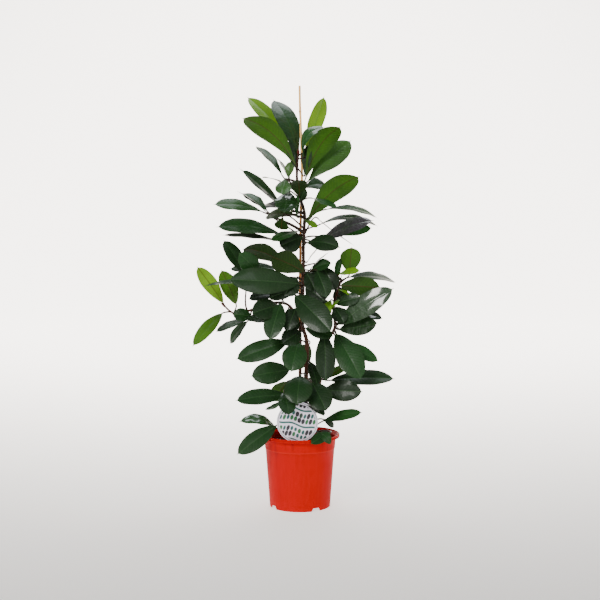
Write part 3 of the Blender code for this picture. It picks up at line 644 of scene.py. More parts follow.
def grow_leaves(path, rows, leaf, random):
    """Points of every leaf, leaf by ring by point, with the place on the blade and the side of
    each. A stalk is a Hermite curve from the stem's axis that arrives along the blade, and the
    blade's midrib is a parabola over the line from base to tip. A place is the distance along the
    midrib, the distance across it and the share of the blade's length, below 0 on the stalk."""
    base, tip, along, across, normal = leaf_axes(rows)
    reach = np.linalg.norm(tip - base, axis=1)[:, None, None]
    lift = (normal * rows[:, 9:10] * 4)[:, None]
    share = np.linspace(0, 1, leaf.stations)
    share = share - END_CROWDING * np.sin(2 * math.pi * share)
    share[0], share[-1] = 0.0, 1.0
    u = share[:, None]
    midrib = base[:, None] + (tip - base)[:, None] * u + lift * u * (1 - u)
    blade_ahead = unit(along[:, None] * reach + lift * (1 - 2 * u))
    right, rise = blade_sections(rows, share, leaf, random)
    round_right, round_rise = round_section(STALK_RADIUS)
    blend = smooth(u / BLADE_START)
    right = round_right * (1 - blend) + right * blend
    rise = round_rise * (1 - blend) + rise * blend

    root = along_path(path, rows[:, 0])
    grow = unit(along_path(path, rows[:, 0] + 0.02) - along_path(path, rows[:, 0] - 0.02))
    gap = np.linalg.norm(base - root, axis=1, keepdims=True)
    leave = unit(unit(base - root) + 0.35 * grow) * gap
    arrive = blade_ahead[:, 0] * gap
    t = np.linspace(0, 1, leaf.stalk_stations + 1)[:-1, None]
    stalk = (
        root[:, None] * (1 - 3 * t ** 2 + 2 * t ** 3) + base[:, None] * (3 * t ** 2 - 2 * t ** 3)
        + leave[:, None] * (t - 2 * t ** 2 + t ** 3) + arrive[:, None] * (t ** 3 - t ** 2)
    )
    stalk_ahead = unit(np.gradient(np.concatenate([stalk, base[:, None]], 1), axis=1))[:, :-1]

    ahead = np.concatenate([stalk_ahead, blade_ahead], axis=1)
    side = across[:, None] - ahead * (across[:, None] * ahead).sum(2, keepdims=True)
    side = unit(side)
    up = np.cross(side, ahead)
    swell = np.repeat((1 + 0.45 * (1 - t) ** 3)[None], len(rows), axis=0)
    right = np.concatenate([round_right * swell, right], axis=1)
    rise = np.concatenate([round_rise * swell, rise], axis=1)
    points = np.concatenate([stalk, midrib], axis=1)[:, :, None]
    points = points + right[..., None] * side[:, :, None] + rise[..., None] * up[:, :, None]

    shares = np.broadcast_to(np.concatenate([t - 1, u]), right.shape)
    place = np.stack([shares * reach * MM, right * (shares >= 0) * MM, shares], axis=3)
    return points, place, np.broadcast_to(np.arange(right.shape[2]) < len(SECTION), shares.shape)


def youth_ramp(youth, leaf, side):
    """A colour for each youth on the ramp from painted sheen through old and grown to new, for one side."""
    stops = [leaf.flush[:], *(getattr(leaf, f"{age}_{side}")[:] for age in ("old", "mid", "new"))]
    return np.stack([np.interp(youth, YOUTH_STOPS, band) for band in np.transpose(stops)], axis=1)


def leaf_colours(rows, upper, shares, leaf, random):
    """A colour for each point: the youth ramp of its side, with each leaf a little lighter or
    darker, and the stalk's own colour before the blade."""
    shade = random.uniform(0.86, 1.14, (len(rows), 1))
    over = (youth_ramp(rows[:, 11], leaf, "upper") * shade)[:, None, None]
    under = (youth_ramp(rows[:, 11], leaf, "under") * shade)[:, None, None]
    blade = smooth(shares / 0.05)[..., None]
    colour = np.array(leaf.stalk) * (1 - blade) + np.where(upper[..., None], over, under) * blade
    return np.concatenate([colour, np.ones((*colour.shape[:3], 1))], axis=3)


def stem_rings(path, radii, places):
    """Rings up a stem from its foot in the soil to its pointed bud. The stem tapers, swells by a
    bell curve at each leaf's place and ends in a spindle."""
    steps = np.linspace(0, len(path) - 1, int(np.ptp(np.array(path)[:, 2]) / STEM_STEP) + 60)
    centres = along_path(path, steps)
    thick = np.interp(steps, (0, len(path) - 1), radii)
    span = np.linalg.norm(np.diff(np.array(path, float), axis=0), axis=1).mean()
    away = steps[:, None] - places
    swell = np.exp(-(away * span / SWELL_LENGTH) ** 2).sum(1)
    scar = np.exp(-((away - SCAR_PLACE) * span / SCAR_LENGTH) ** 2).sum(1)
    thick = thick + SWELL_HEIGHT * np.minimum(swell, 1.2) - SCAR_DEPTH * np.minimum(scar, 1.0)
    foot = np.array([(path[0][0], path[0][1], STEM_FOOT)])
    growth = unit(centres[-1] - centres[-2])
    bud = centres[-1] + growth * BUD_LENGTH * BUD_SHARES[:, None]
    centres = np.concatenate([foot, centres, bud])
    thick = np.concatenate([[radii[0]], thick, radii[1] * BUD_RADII])
    return rings_round(centres, thick, STEM_SIDES)


def leaf_material(leaf):
    """Waxy leaf: side veins that curve to the margin, a midrib, a fine net, mottling, painted shade
    towards the blade's base and its margins, a glossy upper side and a matt underside."""
    shader = Shader("fig_leaf")
    where = shader.place()
    place = shader.attribute("leaf_place", "Vector")
    colour = shader.attribute("leaf_colour", "Color")
    upper = shader.attribute("leaf_upper", "Fac")
    gloss = shader.attribute("leaf_gloss", "Fac")
    distance, offset, share = shader.axes(place)
    out = offset.math("ABSOLUTE")
    blade = share.step(0.0, 0.06)
    phase = (distance - out * 0.62 - out * out * 6.0) / leaf.vein_spacing
    vein_line = (phase - phase.math("FLOOR") - 0.5).math("ABSOLUTE")
    vein = vein_line.step(0.09, 0.0) * out.step(0.0, 0.004) * blade
    pillow = vein_line.step(0.0, 0.5) * blade
    midrib = out.step(0.0016, 0.0004) * blade
    net = shader.add("TexVoronoi", {"feature": "DISTANCE_TO_EDGE"}, Vector=place, Scale=420.0, out="Distance")
    net_line = net.step(0.12, 0.0) * blade
    mottle = shader.noise(where, 55.0, 4.0, 0.6)
    cloud = shader.noise(where, 14.0, 2.0)
    speck = shader.noise(where, 900.0, 2.0)
    crease = shader.noise(place, 46.0, 2.0, 0.5, (1.6, 0.7, 0.0))
    base = shader.layers(
        colour, (mottle.step(0.3, 0.75) * 0.5, shader.mix(0.35, colour, (0.5, 0.5, 0.5), "SOFT_LIGHT")),
        (cloud.step(0.35, 0.7) * 0.3, (0.01, 0.025, 0.008)),
        # Painted shade: darker towards the blade's base, and in the next layer towards its margins.
        (share.step(0.55, 0.0) * 0.4 * blade, (0.01, 0.022, 0.009)),
        (out.step(0.012, 0.034) * 0.25 * blade, (0.02, 0.03, 0.014)),
        (vein * (0.10 + 0.02 * upper), shader.mix(upper, leaf.new_under, leaf.rib_upper)),
        (net_line * 0.03, leaf.rib_upper),
        (midrib * (0.75 - 0.4 * upper), shader.mix(upper, leaf.rib_under, leaf.rib_upper)),
    )
    sunk = 1 - 2 * upper
    height = 0.5 + sunk * vein * 0.16 + pillow * upper * 0.08 + sunk * net_line * 0.02 + (speck - 0.5) * 0.02
    height = height + crease * (0.7 + 4.0 * gloss)
    return shader.finish(
        Base_Color=base, Roughness=0.56 - upper * 0.16 + (mottle - 0.5) * 0.12 + vein * 0.05,
        Coat_Weight=upper * blade * (0.08 + 0.9 * gloss), Coat_Roughness=0.1,
        Specular_IOR_Level=0.18, Normal=shader.bump(height, 0.0011),
    )


def bark_material(leaf):
    """Smooth young bark: redder and darker towards the tip, with streaks along the stem, pale
    breathing pores and faint rings."""
    shader = Shader("fig_bark")
    where = shader.place()
    height = shader.axes(where)[2]
    streak = shader.noise(where, 260.0, 4.0, 0.6, (1, 1, 0.12))
    ring = shader.noise(where, 340.0, 2.0, 0.5, (0.1, 0.1, 1))
    pore = shader.noise(where, 620.0, 1.0, 0.5, (1, 1, 0.5)).step(0.66, 0.72)
    base = shader.layers(
        leaf.bark_low, (height.step(0.3, 0.8), leaf.bark_high),
        (streak.step(0.35, 0.7) * 0.55, (0.03, 0.016, 0.008)),
        (ring.step(0.5, 0.75) * 0.4, leaf.rib_under), (pore * 0.5, (0.32, 0.24, 0.15)),
        (shader.attribute("stem_bud", "Fac"), leaf.bud),
    )
    return shader.finish(
        Base_Color=base, Roughness=0.5 + streak * 0.2, Specular_IOR_Level=0.25,
        Normal=shader.bump(streak * 0.6 + ring * 0.3 + pore * 0.3, 0.0006),
    )


def make_leafy_stem(side, path, leaves, partners, leaf, materials):
    """One stem with all its leaves and small pointed scales, as one mesh of two materials."""
    random = np.random.default_rng(STEM_SEEDS[side])
    rows = all_rows(leaves, partners)
    points, place, upper = grow_leaves(path, rows, leaf, random)
    colours = leaf_colours(rows, upper, place[..., 2], leaf, random)
    stem = stem_rings(path, STEM_RADII[side], rows[:, 0])
    scales = scale_rings(path, rows, STEM_RADII[side], random)

    faces, total = [], 0
    for part in (stem[None], scales, points):
        bark_faces = len(faces)
        faces += loft_faces(*part.shape[1:3], len(part), total)
        total += part[..., 0].size
    piece = make_piece(
        f"{side}_stem_and_leaves", np.concatenate([a.reshape(-1, 3) for a in (stem, scales, points)]),
        faces, materials, [f"{side}_leafy_stem"],
    )
    mesh = piece.data
    finish = np.full(len(faces), LEAF, np.int32)
    finish[:bark_faces] = BARK
    mesh.polygons.foreach_set("material_index", finish)
    gloss = np.zeros(upper.shape)
    gloss[list(GLOSSY[side])] = np.array(list(GLOSSY[side].values()))[:, None, None]
    is_bud = np.zeros(total)
    bud_start = (len(stem) - len(BUD_SHARES)) * STEM_SIDES
    is_bud[bud_start:total - upper.size] = 1.0
    add_attribute(mesh, "leaf_place", "FLOAT_VECTOR", place)
    add_attribute(mesh, "leaf_colour", "FLOAT_COLOR", colours)
    add_attribute(mesh, "leaf_upper", "FLOAT", upper)
    add_attribute(mesh, "leaf_gloss", "FLOAT", gloss)
    add_attribute(mesh, "stem_bud", "FLOAT", is_bud)


def scale_rings(path, rows, radii, random):
    """A small pointed scale above each leaf's stalk, scale by ring by point: a flattened spindle
    that leans from the stem."""
    places = rows[:, 0] + 0.05
    foot = along_path(path, places)
    grow = unit(along_path(path, places + 0.02) - along_path(path, places - 0.02))
    out = rows[:, 1:4] - foot
    out = unit(out - grow * (out * grow).sum(1, keepdims=True))
    side = np.cross(grow, out)
    thick = np.interp(places, (0, len(path) - 1), radii)[:, None]
    tall = random.uniform(6.0, 12.0, (len(rows), 1, 1))
    t = np.linspace(0, 1, len(SCALE_RADII))[:, None]
    centre = (foot + out * thick * 0.75)[:, None] + grow[:, None] * tall * t + out[:, None] * (1.6 * t ** 2)
    angles = circle(SCALE_SIDES)[:, None]
    ring = np.cos(angles) * side[:, None, None] * 1.5 + np.sin(angles) * out[:, None, None] * -0.7
    return centre[:, :, None] + ring * SCALE_RADII[:, None, None]


class FIG_OT_grow_stems(bpy.types.Operator):
    """Grows the three leafy stems"""

    bl_idname = "fig.grow_stems"
    bl_label = "Grow leafy stems"

    def execute(self, context):
        leaf = context.scene.fig_leaves
        materials = [bark_material(leaf), leaf_material(leaf)]
        make_leafy_stem("main", MAIN_PATH, MAIN_LEAVES, MAIN_PARTNERS, leaf, materials)
        make_leafy_stem("left", LEFT_PATH, LEFT_LEAVES, LEFT_PARTNERS, leaf, materials)
        make_leafy_stem("right", RIGHT_PATH, RIGHT_LEAVES, RIGHT_PARTNERS, leaf, materials)
        return {"FINISHED"}


# Pot and soil

POT_HEIGHT = 193.0
FOOT_RADIUS = 80.0
RIDGE_HEIGHT = 156.0
RIDGE_RADIUS = 91.4
COLLAR_RADIUS = 94.8
LIP_RADIUS = 105.0
FLOOR_UNDERSIDE = 10.0
FLOOR_TOP = 12.5
NOTCH_ANGLES = (-60.0, 32.0, 122.0, 212.0)
NOTCH_WIDTH = 26.0
NOTCH_TOP_WIDTH = 18.0
NOTCH_HEIGHT = 8.0
DRAIN_RADIUS = 5.0
DRAIN_CIRCLE = 42.0
DRAIN_COUNT = 6
DRAIN_SIDES = 24
FOOT_EDGE = 1.0
SOIL_TOP = 164.0
SOIL_CROWN = 5.0
SOIL_GAP = 0.3
SOIL_RINGS = 64
CRUMB_REACH = 84.0
CRUMB_SEED = 5
HILL_SEED = 7


def body_radius(height):
    """Outer radius of the pot's wall at a height, from its foot to the top of its collar."""
    return np.interp(height, (0, RIDGE_HEIGHT), (FOOT_RADIUS, RIDGE_RADIUS))


def pot_profile(pot):
    """Radius and height down the middle of the floor's underside, out to the foot, up the outside,
    over the rolled lip, down the inside and back along the floor to the axis."""
    wall, ridge = pot.wall / MM, pot.ridge / MM
    low = POT_HEIGHT - pot.lip_height / MM
    turn = np.radians(np.linspace(-80, 80, 9))
    roll = np.stack([LIP_RADIUS - 2.2 + 2.2 * np.cos(turn), POT_HEIGHT - 2.2 + 2.2 * np.sin(turn)], axis=1)
    outside = (
        (FOOT_RADIUS - wall, 0), (FOOT_RADIUS - 0.3, 0), (FOOT_RADIUS, 0.4), (body_radius(9), 9),
        (body_radius(40), 40), (body_radius(80), 80), (body_radius(120), 120),
        (body_radius(RIDGE_HEIGHT - ridge), RIDGE_HEIGHT - ridge - 0.6),
        (RIDGE_RADIUS + ridge * 0.75, RIDGE_HEIGHT - ridge * 0.5),
        (RIDGE_RADIUS + ridge, RIDGE_HEIGHT),
        (RIDGE_RADIUS + ridge * 0.9, RIDGE_HEIGHT + 1.2),
        (COLLAR_RADIUS - 0.2, low - 3), (COLLAR_RADIUS + 0.6, low - 0.6),
        (LIP_RADIUS - 2.6, low), (LIP_RADIUS - 0.5, low + 0.6), (LIP_RADIUS, low + 2),
    )
    inside = (
        (LIP_RADIUS - 3.6, POT_HEIGHT - 0.3), (LIP_RADIUS - 5.0, POT_HEIGHT - 2.0),
        (COLLAR_RADIUS - wall + 0.8, low + 1.6), (COLLAR_RADIUS - wall, low - 1),
        (RIDGE_RADIUS - wall + 0.6, RIDGE_HEIGHT + 2), (RIDGE_RADIUS - wall, RIDGE_HEIGHT),
        (body_radius(80) - wall, 80), (body_radius(FLOOR_TOP) - wall, FLOOR_TOP),
    )
    under = [(out, FLOOR_UNDERSIDE) for out in (20, 60, body_radius(FLOOR_UNDERSIDE) - wall)]
    floor = ((60, FLOOR_TOP), (20, FLOOR_TOP))
    return np.concatenate([under, outside, roll, inside, floor])


def turned_rings(profile, angles):
    """Rings of points, ring by point, where a profile of radius and height is turned round Z."""
    radius, height = profile[:, :1], profile[:, 1:]
    return np.stack([radius * np.cos(angles), radius * np.sin(angles), height + 0 * angles], axis=2)


def cut_holes(piece, points, faces):
    """Cuts closed forms out of a piece, in one exact Boolean."""
    cutter = bpy.data.objects.new("cutter", bpy.data.meshes.new("cutter"))
    cutter.data.from_pydata((points.reshape(-1, 3) * MM).tolist(), [], faces)
    bpy.context.scene.collection.objects.link(cutter)
    piece.modifiers.new("Holes", "BOOLEAN").object = cutter
    graph = bpy.context.evaluated_depsgraph_get()
    mesh = bpy.data.meshes.new_from_object(piece.evaluated_get(graph))
    piece.modifiers.clear()
    piece.data = mesh
    bpy.data.objects.remove(cutter)


def plastic_material(pot):
    """Moulded plastic: a fine grain, faint drawn lines up the wall, rubbed patches, streaky stains
    with painted shade under the lip, and painted shade in the soil's colour on the inside of the wall."""
    shader = Shader("terracotta_plastic")
    where = shader.place()
    x, y, z = shader.axes(where)
    cloud = shader.noise(where, 9.0, 3.0)
    drawn = shader.noise(where, 160.0, 2.0, 0.5, (1, 1, 0.06))
    rubbed = shader.noise(where, 48.0, 5.0, 0.7).step(0.60, 0.80)
    grain = shader.noise(where, 1900.0, 1.0)
    stain_and_shade = shader.noise(where, 55.0, 3.0, 0.6, (1, 1, 0.12)).step(0.52, 0.72)
    ridge = (z - RIDGE_HEIGHT * MM).math("ABSOLUTE").step(0.0022, 0.0006)
    # The band under the lip, where the streaks are darkened further as painted shade.
    collar = z.step(0.125, 0.162) * z.step(0.196, 0.182)
    # Painted shade on the inside of the wall above the soil, in the soil's dark colour.
    inner_wall_shade = ((x * x + y * y) ** 0.5 - z * 0.096).step(0.0768, 0.0756) * z.step(0.192, 0.172)
    base = shader.layers(
        pot.red, (cloud.step(0.35, 0.7) * 0.35, tuple(band * 0.72 for band in pot.red)),
        (drawn.step(0.45, 0.75) * 0.08, pot.red_worn),
        # Streaky stains all round, and painted shade under the lip where the collar band adds more.
        (stain_and_shade * (0.12 + 0.3 * collar), (0.09, 0.008, 0.012)),
        (rubbed * 0.12 + ridge * 0.3, pot.red_worn),
        # Painted shade inside the rim.
        (inner_wall_shade * (0.55 + stain_and_shade * 0.3), pot.soil_dark),
    )
    return shader.finish(
        Base_Color=base, Roughness=0.46 + cloud * 0.12 + rubbed * 0.14, Specular_IOR_Level=0.04,
        Normal=shader.bump(grain * 0.5 + drawn * 0.5 + rubbed * 0.2, 0.00012),
    )


class FIG_OT_make_pot(bpy.types.Operator):
    """Turns the pot and cuts its foot notches and drain holes"""

    bl_idname = "fig.make_pot"
    bl_label = "Make pot"

    def execute(self, context):
        pot = context.scene.fig_pot
        notch_turns = np.radians(NOTCH_ANGLES)[:, None] - math.pi / 2
        corners = np.array((NOTCH_WIDTH, NOTCH_TOP_WIDTH, -NOTCH_WIDTH, -NOTCH_TOP_WIDTH)) / 2 / FOOT_RADIUS
        notch_corners = (notch_turns + corners) % (2 * math.pi)
        angles = np.sort(np.concatenate([circle(pot.sides), notch_corners.ravel()]))
        profile = pot_profile(pot)
        rings = turned_rings(profile, angles)
        off = np.abs((angles - notch_turns + math.pi) % (2 * math.pi) - math.pi).min(axis=0) * FOOT_RADIUS
        raised = np.interp(off, (NOTCH_TOP_WIDTH / 2, NOTCH_WIDTH / 2), (NOTCH_HEIGHT, 0.0))
        rings[profile[:, 1] < FOOT_EDGE, :, 2] += raised
        piece = make_piece(
            "terracotta_pot", rings, loft_faces(len(rings), len(angles)), [plastic_material(pot)],
            ["pot"], 40.0,
        )
        hole = turned_rings(np.array(((DRAIN_RADIUS, 5.0), (DRAIN_RADIUS, 20.0))), circle(DRAIN_SIDES))
        middles = turned_rings(np.array(((DRAIN_CIRCLE, 0.0),)), circle(DRAIN_COUNT))[0]
        holes = hole + middles[:, None, None]
        cut_holes(piece, holes, loft_faces(2, DRAIN_SIDES, DRAIN_COUNT))
        return {"FINISHED"}


def ripples(places, lengths, random):
    """Random hills over places: for each wavelength, seven plane waves in random directions."""
    total = np.zeros(places.shape[:-1])
    for span in lengths:
        turn, phase = random.uniform(0, 2 * math.pi, (2, 7))
        way = np.stack([np.cos(turn), np.sin(turn)]) * 2 * math.pi / span
        total += span * np.cos(places[..., :2] @ way + phase).mean(axis=-1)
    return total


def soil_surface(places):
    """Height of the soil at places: a low crown with random hills that fade at the wall."""
    out = np.hypot(places[..., 0], places[..., 1]) / (RIDGE_RADIUS - 2.5)
    hills = ripples(places, (38.0, 17.0, 9.0, 5.0), np.random.default_rng(HILL_SEED))
    return SOIL_TOP + SOIL_CROWN * (1 - out ** 2) + 0.13 * hills * (1 - 0.6 * out ** 4)


def soil_material(pot):
    """Damp peat: dark brown with lighter crumbs and pale fibres."""
    shader = Shader("peaty_soil")
    where = shader.place()
    clump = shader.noise(where, 190.0, 5.0, 0.7)
    grain = shader.noise(where, 900.0, 3.0, 0.7)
    fibre = shader.noise(where, 500.0, 2.0, 0.5, (1, 0.15, 1)).step(0.66, 0.74)
    base = shader.layers(
        pot.soil_dark, (clump.step(0.4, 0.75) * 0.6, pot.soil_light),
        (grain.step(0.55, 0.2) * 0.7, (0.006, 0.004, 0.003)), (fibre * 0.35, pot.soil_light),
    )
    return shader.finish(
        Base_Color=base, Roughness=0.85 + clump * 0.1, Specular_IOR_Level=0.25,
        Normal=shader.bump(clump * 0.6 + grain * 0.5, 0.0016),
    )


def ball_corners():
    """The twelve corners of an icosahedron whose edges are 2 long."""
    golden = (1 + 5 ** 0.5) / 2
    corners = np.array([(0, a, b * golden) for a in (-1, 1) for b in (-1, 1)], float)
    return np.concatenate([np.roll(corners, turn, axis=1) for turn in range(3)])


def crumb_points(count, random):
    """Points of loose crumbs, crumb by point: icosahedra stretched and turned at random, half sunk
    in the soil and strewn evenly over it."""
    size = random.uniform(0.9, 2.6, (count, 1, 1)) * random.uniform(0.7, 1.5, (count, 1, 3))
    axes, _ = np.linalg.qr(random.normal(size=(count, 3, 3)))
    out = CRUMB_REACH * np.sqrt(random.uniform(0.02, 1, count))
    turn = random.uniform(0, 2 * math.pi, count)
    middle = np.stack([out * np.cos(turn), out * np.sin(turn), 0 * out], axis=1)
    middle[:, 2] = soil_surface(middle)
    crumbs = (ball_corners() / 1.9 * size * random.uniform(0.8, 1.15, (count, 12, 1))) @ axes
    return crumbs + middle[:, None]


class FIG_OT_fill_soil(bpy.types.Operator):
    """Fills the pot with soil and strews loose crumbs on it"""

    bl_idname = "fig.fill_soil"
    bl_label = "Fill with soil"

    def execute(self, context):
        pot = context.scene.fig_pot
        low = FLOOR_TOP + SOIL_GAP
        edge = RIDGE_RADIUS - pot.wall / MM - SOIL_GAP
        foot = body_radius(low) - pot.wall / MM - SOIL_GAP
        wall = ((2.0, low), (foot * 0.5, low), (foot, low), (edge, RIDGE_HEIGHT))
        top = np.stack([edge * np.linspace(1, 0.03, SOIL_RINGS), np.full(SOIL_RINGS, SOIL_TOP)], axis=1)
        rings = turned_rings(np.concatenate([wall, top]), circle(pot.sides))
        rings[len(wall):, :, 2] = soil_surface(rings[len(wall):])
        crumbs = crumb_points(pot.crumbs, np.random.default_rng(CRUMB_SEED))
        starts = rings[..., 0].size + 12 * np.arange(pot.crumbs)
        faces = loft_faces(len(rings), pot.sides)
        faces += (ball_faces() + starts[:, None, None]).reshape(-1, 3).tolist()
        make_piece(
            "soil_and_crumbs", np.concatenate([rings.reshape(-1, 3), crumbs.reshape(-1, 3)]), faces,
            [soil_material(pot)], ["soil"], 60.0,
        )
        return {"FINISHED"}


def ball_faces():
    """The twenty faces of the icosahedron, as triples of its corners that lie an edge apart, wound
    to face outwards."""
    ball = ball_corners()
    near = np.linalg.norm(ball[:, None] - ball, axis=2) < 2.1
    a, b, c = np.indices((12, 12, 12))
    first, second, third = np.nonzero((a > b) & (b > c) & near[a, b] & near[b, c] & near[a, c])
    inward = (np.cross(ball[second] - ball[first], ball[third] - ball[first]) * ball[first]).sum(1) < 0
    return np.stack([first, np.where(inward, third, second), np.where(inward, second, third)], axis=1)


# Cane

CANE_FOOT = 70.0


def bamboo_material(cane):
    """Dry bamboo: long streaks, browner towards the ground as painted shade from the leaves, with a
    dark scar and a pale bloom at each node."""
    shader = Shader("dry_bamboo")
    where = shader.place()
    height = shader.axes(where)[2]
    streak = shader.noise(where, 420.0, 4.0, 0.6, (1, 1, 0.03))
    blotch = shader.noise(where, 30.0, 3.0)
    base = shader.layers(
        # Painted shade: the lower part, in the leaves' shadow, turns browner.
        cane.pale, (height.step(0.95, 0.62) * 0.8, cane.tan),
        (streak.step(0.4, 0.7) * 0.45, cane.tan), (blotch.step(0.55, 0.75) * 0.35, cane.node),
    )
    for node in CANE_NODES:
        away = height - node * MM
        base = shader.layers(
            base, (away.step(-0.0004, 0.0003) * away.step(0.0016, 0.0006) * 0.8, cane.node),
            (away.step(-0.009, -0.001) * away.step(0.0, -0.0006) * 0.4, cane.pale),
        )
    return shader.finish(Base_Color=base, Roughness=0.45 + streak * 0.2, Normal=shader.bump(streak, 0.0003))


class FIG_OT_make_cane(bpy.types.Operator):
    """Makes the bamboo cane"""

    bl_idname = "fig.make_cane"
    bl_label = "Make cane"

    def execute(self, context):
        cane = context.scene.fig_cane
        spine = along_path(CANE_PATH, np.linspace(0, len(CANE_PATH) - 1, 200))
        extra = np.array(CANE_NODES)[:, None] + np.linspace(-5, 5, 13)
        heights = np.sort(np.concatenate([[CANE_FOOT], spine[:, 2], extra.ravel()]))
        middle = np.stack([np.interp(heights, spine[:, 2], spine[:, axis]) for axis in (0, 1)] + [heights], 1)
        thick = np.interp(heights, (CANE_PATH[0][2], CANE_PATH[-1][2]), CANE_RADII)
        away = heights[:, None] - np.array(CANE_NODES)
        swell = np.exp(-(away / 2.6) ** 2) - 0.5 * np.exp(-((away - 1.1) / 0.5) ** 2)
        thick = thick + cane.swell / MM * swell.sum(1)
        rings = rings_round(middle, thick, cane.sides)
        top = middle[-1]
        cut = top + (rings[-1] - top)[None] * np.array((0.94, 0.45, 0.4))[:, None, None]
        cut[2, :, 2] -= 4.0
        rings = np.concatenate([rings, cut])
        make_piece(
            "bamboo_stake", rings, loft_faces(len(rings), cane.sides), [bamboo_material(cane)],
            ["bamboo_cane"], 40.0,
        )
        return {"FINISHED"}


# Label

LABEL_CENTRE = (-6.6, -84.0, 237.0)
LABEL_RADIUS = 53.5
LABEL_THICKNESS = 1.2
DISC_STEPS = 120
STICK_WIDTH = 8.0
STICK_FOOT = 125.0
STICK_POINT = 12.0


def card_material(label):
    """White plastic card printed on its front with wavy rows of rounded marks in three inks inside
    a thin ring, with a plain wavy line between every third pair of rows."""
    shader = Shader("printed_card")
    where = shader.place()
    x, y, z = shader.axes(where)
    across, up = x - LABEL_CENTRE[0] * MM, z - LABEL_CENTRE[2] * MM
    reach = (across * across + up * up) ** 0.5
    wave = (across * 105.0).math("SINE") * 0.0026 + across * 0.22
    row = (up + wave) / label.row_height + 40.0
    row_number = row.math("FLOOR")
    column = across / label.mark_spacing + row_number * 0.5 + 40.0
    column_number = column.math("FLOOR")
    cell = shader.add("CombineXYZ", None, row_number, column_number, 3.0)
    draw = shader.add("TexWhiteNoise", {"noise_dimensions": "3D"}, cell, out="Value")
    size = 0.85 + draw * 0.35
    in_row, in_column = row - row_number - 0.5, column - column_number - 0.5
    in_row, in_column = (in_row - in_column * 0.45) / (size * 0.42), in_column / (size * 0.44)
    mark = (in_row * in_row + in_column * in_column).step(1.15, 0.85)
    third = (row_number / 3.0 - (row_number / 3.0).math("FLOOR")).step(0.30, 0.32)
    line = (row - row_number - 0.5).math("ABSOLUTE").step(0.19, 0.15)
    inside = reach.step(0.0472, 0.0468)
    ring = reach.step(0.0494, 0.0497) * reach.step(0.0508, 0.0505)
    front = y.step((LABEL_CENTRE[1] + 0.1) * MM, (LABEL_CENTRE[1] - 0.1) * MM)
    ink = shader.layers(
        label.teal, (draw.step(0.36, 0.37), label.green), (draw.step(0.66, 0.67), label.black),
    )
    ink = shader.mix(third, label.teal, ink)
    mask = (mark * third + line * (1 - third)) * inside
    fleck = shader.noise(where, 700.0, 2.0)
    base = shader.layers(
        label.card, (fleck * 0.06, (0.6, 0.6, 0.62)), (mask * front * 0.95, ink),
        (ring * front * 0.95, label.green),
    )
    return shader.finish(
        Base_Color=base, Roughness=0.42 - mask * front * 0.08, Specular_IOR_Level=0.2,
        Normal=shader.bump(fleck, 0.00005),
    )


class FIG_OT_make_label(bpy.types.Operator):
    """Makes the plant label on its stick"""

    bl_idname = "fig.make_label"
    bl_label = "Make label"

    def execute(self, context):
        half, half_stick = LABEL_THICKNESS / 2, STICK_WIDTH / 2
        joint = math.asin(half_stick / LABEL_RADIUS)
        sweep = np.linspace(-math.pi / 2 + joint, 1.5 * math.pi - joint, DISC_STEPS)
        disc = LABEL_RADIUS * np.stack([np.cos(sweep), np.sin(sweep)], axis=1)
        end = STICK_FOOT - LABEL_CENTRE[2]
        wide = end + STICK_POINT
        stick = ((-half_stick, wide), (-1.0, end + 1), (1.0, end + 1), (half_stick, wide))
        outline = np.concatenate([disc, stick])
        turn = np.radians(np.linspace(90, -90, 7))
        depth = half * np.sin(turn)
        inset = 0.35 * (1 - np.cos(turn))
        shrink = 1 - inset[:, None] / np.linalg.norm(outline, axis=1)
        rings = np.stack([
            outline[:, 0] * shrink, np.repeat(depth[:, None], len(outline), 1), outline[:, 1] * shrink,
        ], axis=2) + LABEL_CENTRE
        make_piece(
            "plant_label_card", rings, loft_faces(len(rings), len(outline)),
            [card_material(context.scene.fig_label)], ["plant_label"], 50.0,
        )
        return {"FINISHED"}


# Stage

class FIG_OT_set_stage(bpy.types.Operator):
    """Sets the floor, lights and camera"""

    bl_idname = "fig.set_stage"
    bl_label = "Set the stage"

    def execute(self, context):
        stage = context.scene.fig_stage
        make_floor(stage)
        for name, place, aim, size, power, colour in LIGHTS:
            add_light(name, place, aim, size, power * stage.power, colour)
        world = context.scene.world or bpy.data.worlds.new("studio")
        context.scene.world = world
        world.use_nodes = True
        back = world.node_tree.nodes["Background"]
        back.inputs["Color"].default_value = WORLD_COLOUR
        back.inputs["Strength"].default_value = WORLD_STRENGTH
        add_camera()
        return {"FINISHED"}


# Each light: name, place and aim in metres, width and height, power in watts, colour.
LIGHTS = (
    ("key_front", (-1.3, -2.7, 2.2), (0, 0, 0.5), (0.9, 0.9), 82.0, (1.0, 0.98, 0.95)),
    ("fill_front", (1.9, -2.9, 1.7), (0, 0, 0.5), (1.2, 1.0), 26.0, (0.98, 0.98, 1.0)),
    ("top_back", (0.1, 0.9, 2.9), (0, 0, 0.6), (2.0, 1.2), 52.0, (0.92, 0.95, 1.0)),
)
WORLD_COLOUR = (0.92, 0.95, 1.0, 1.0)
WORLD_STRENGTH = 0.25
GLOW_PLACE = (0.0, 5.5, 0.6)
GLOW_NEAR = 2.2
GLOW_FAR = 6.9
GLOW_STRENGTH = 5.0
FLOOR_SIDES = 96
WALL_HEIGHT = 3.0


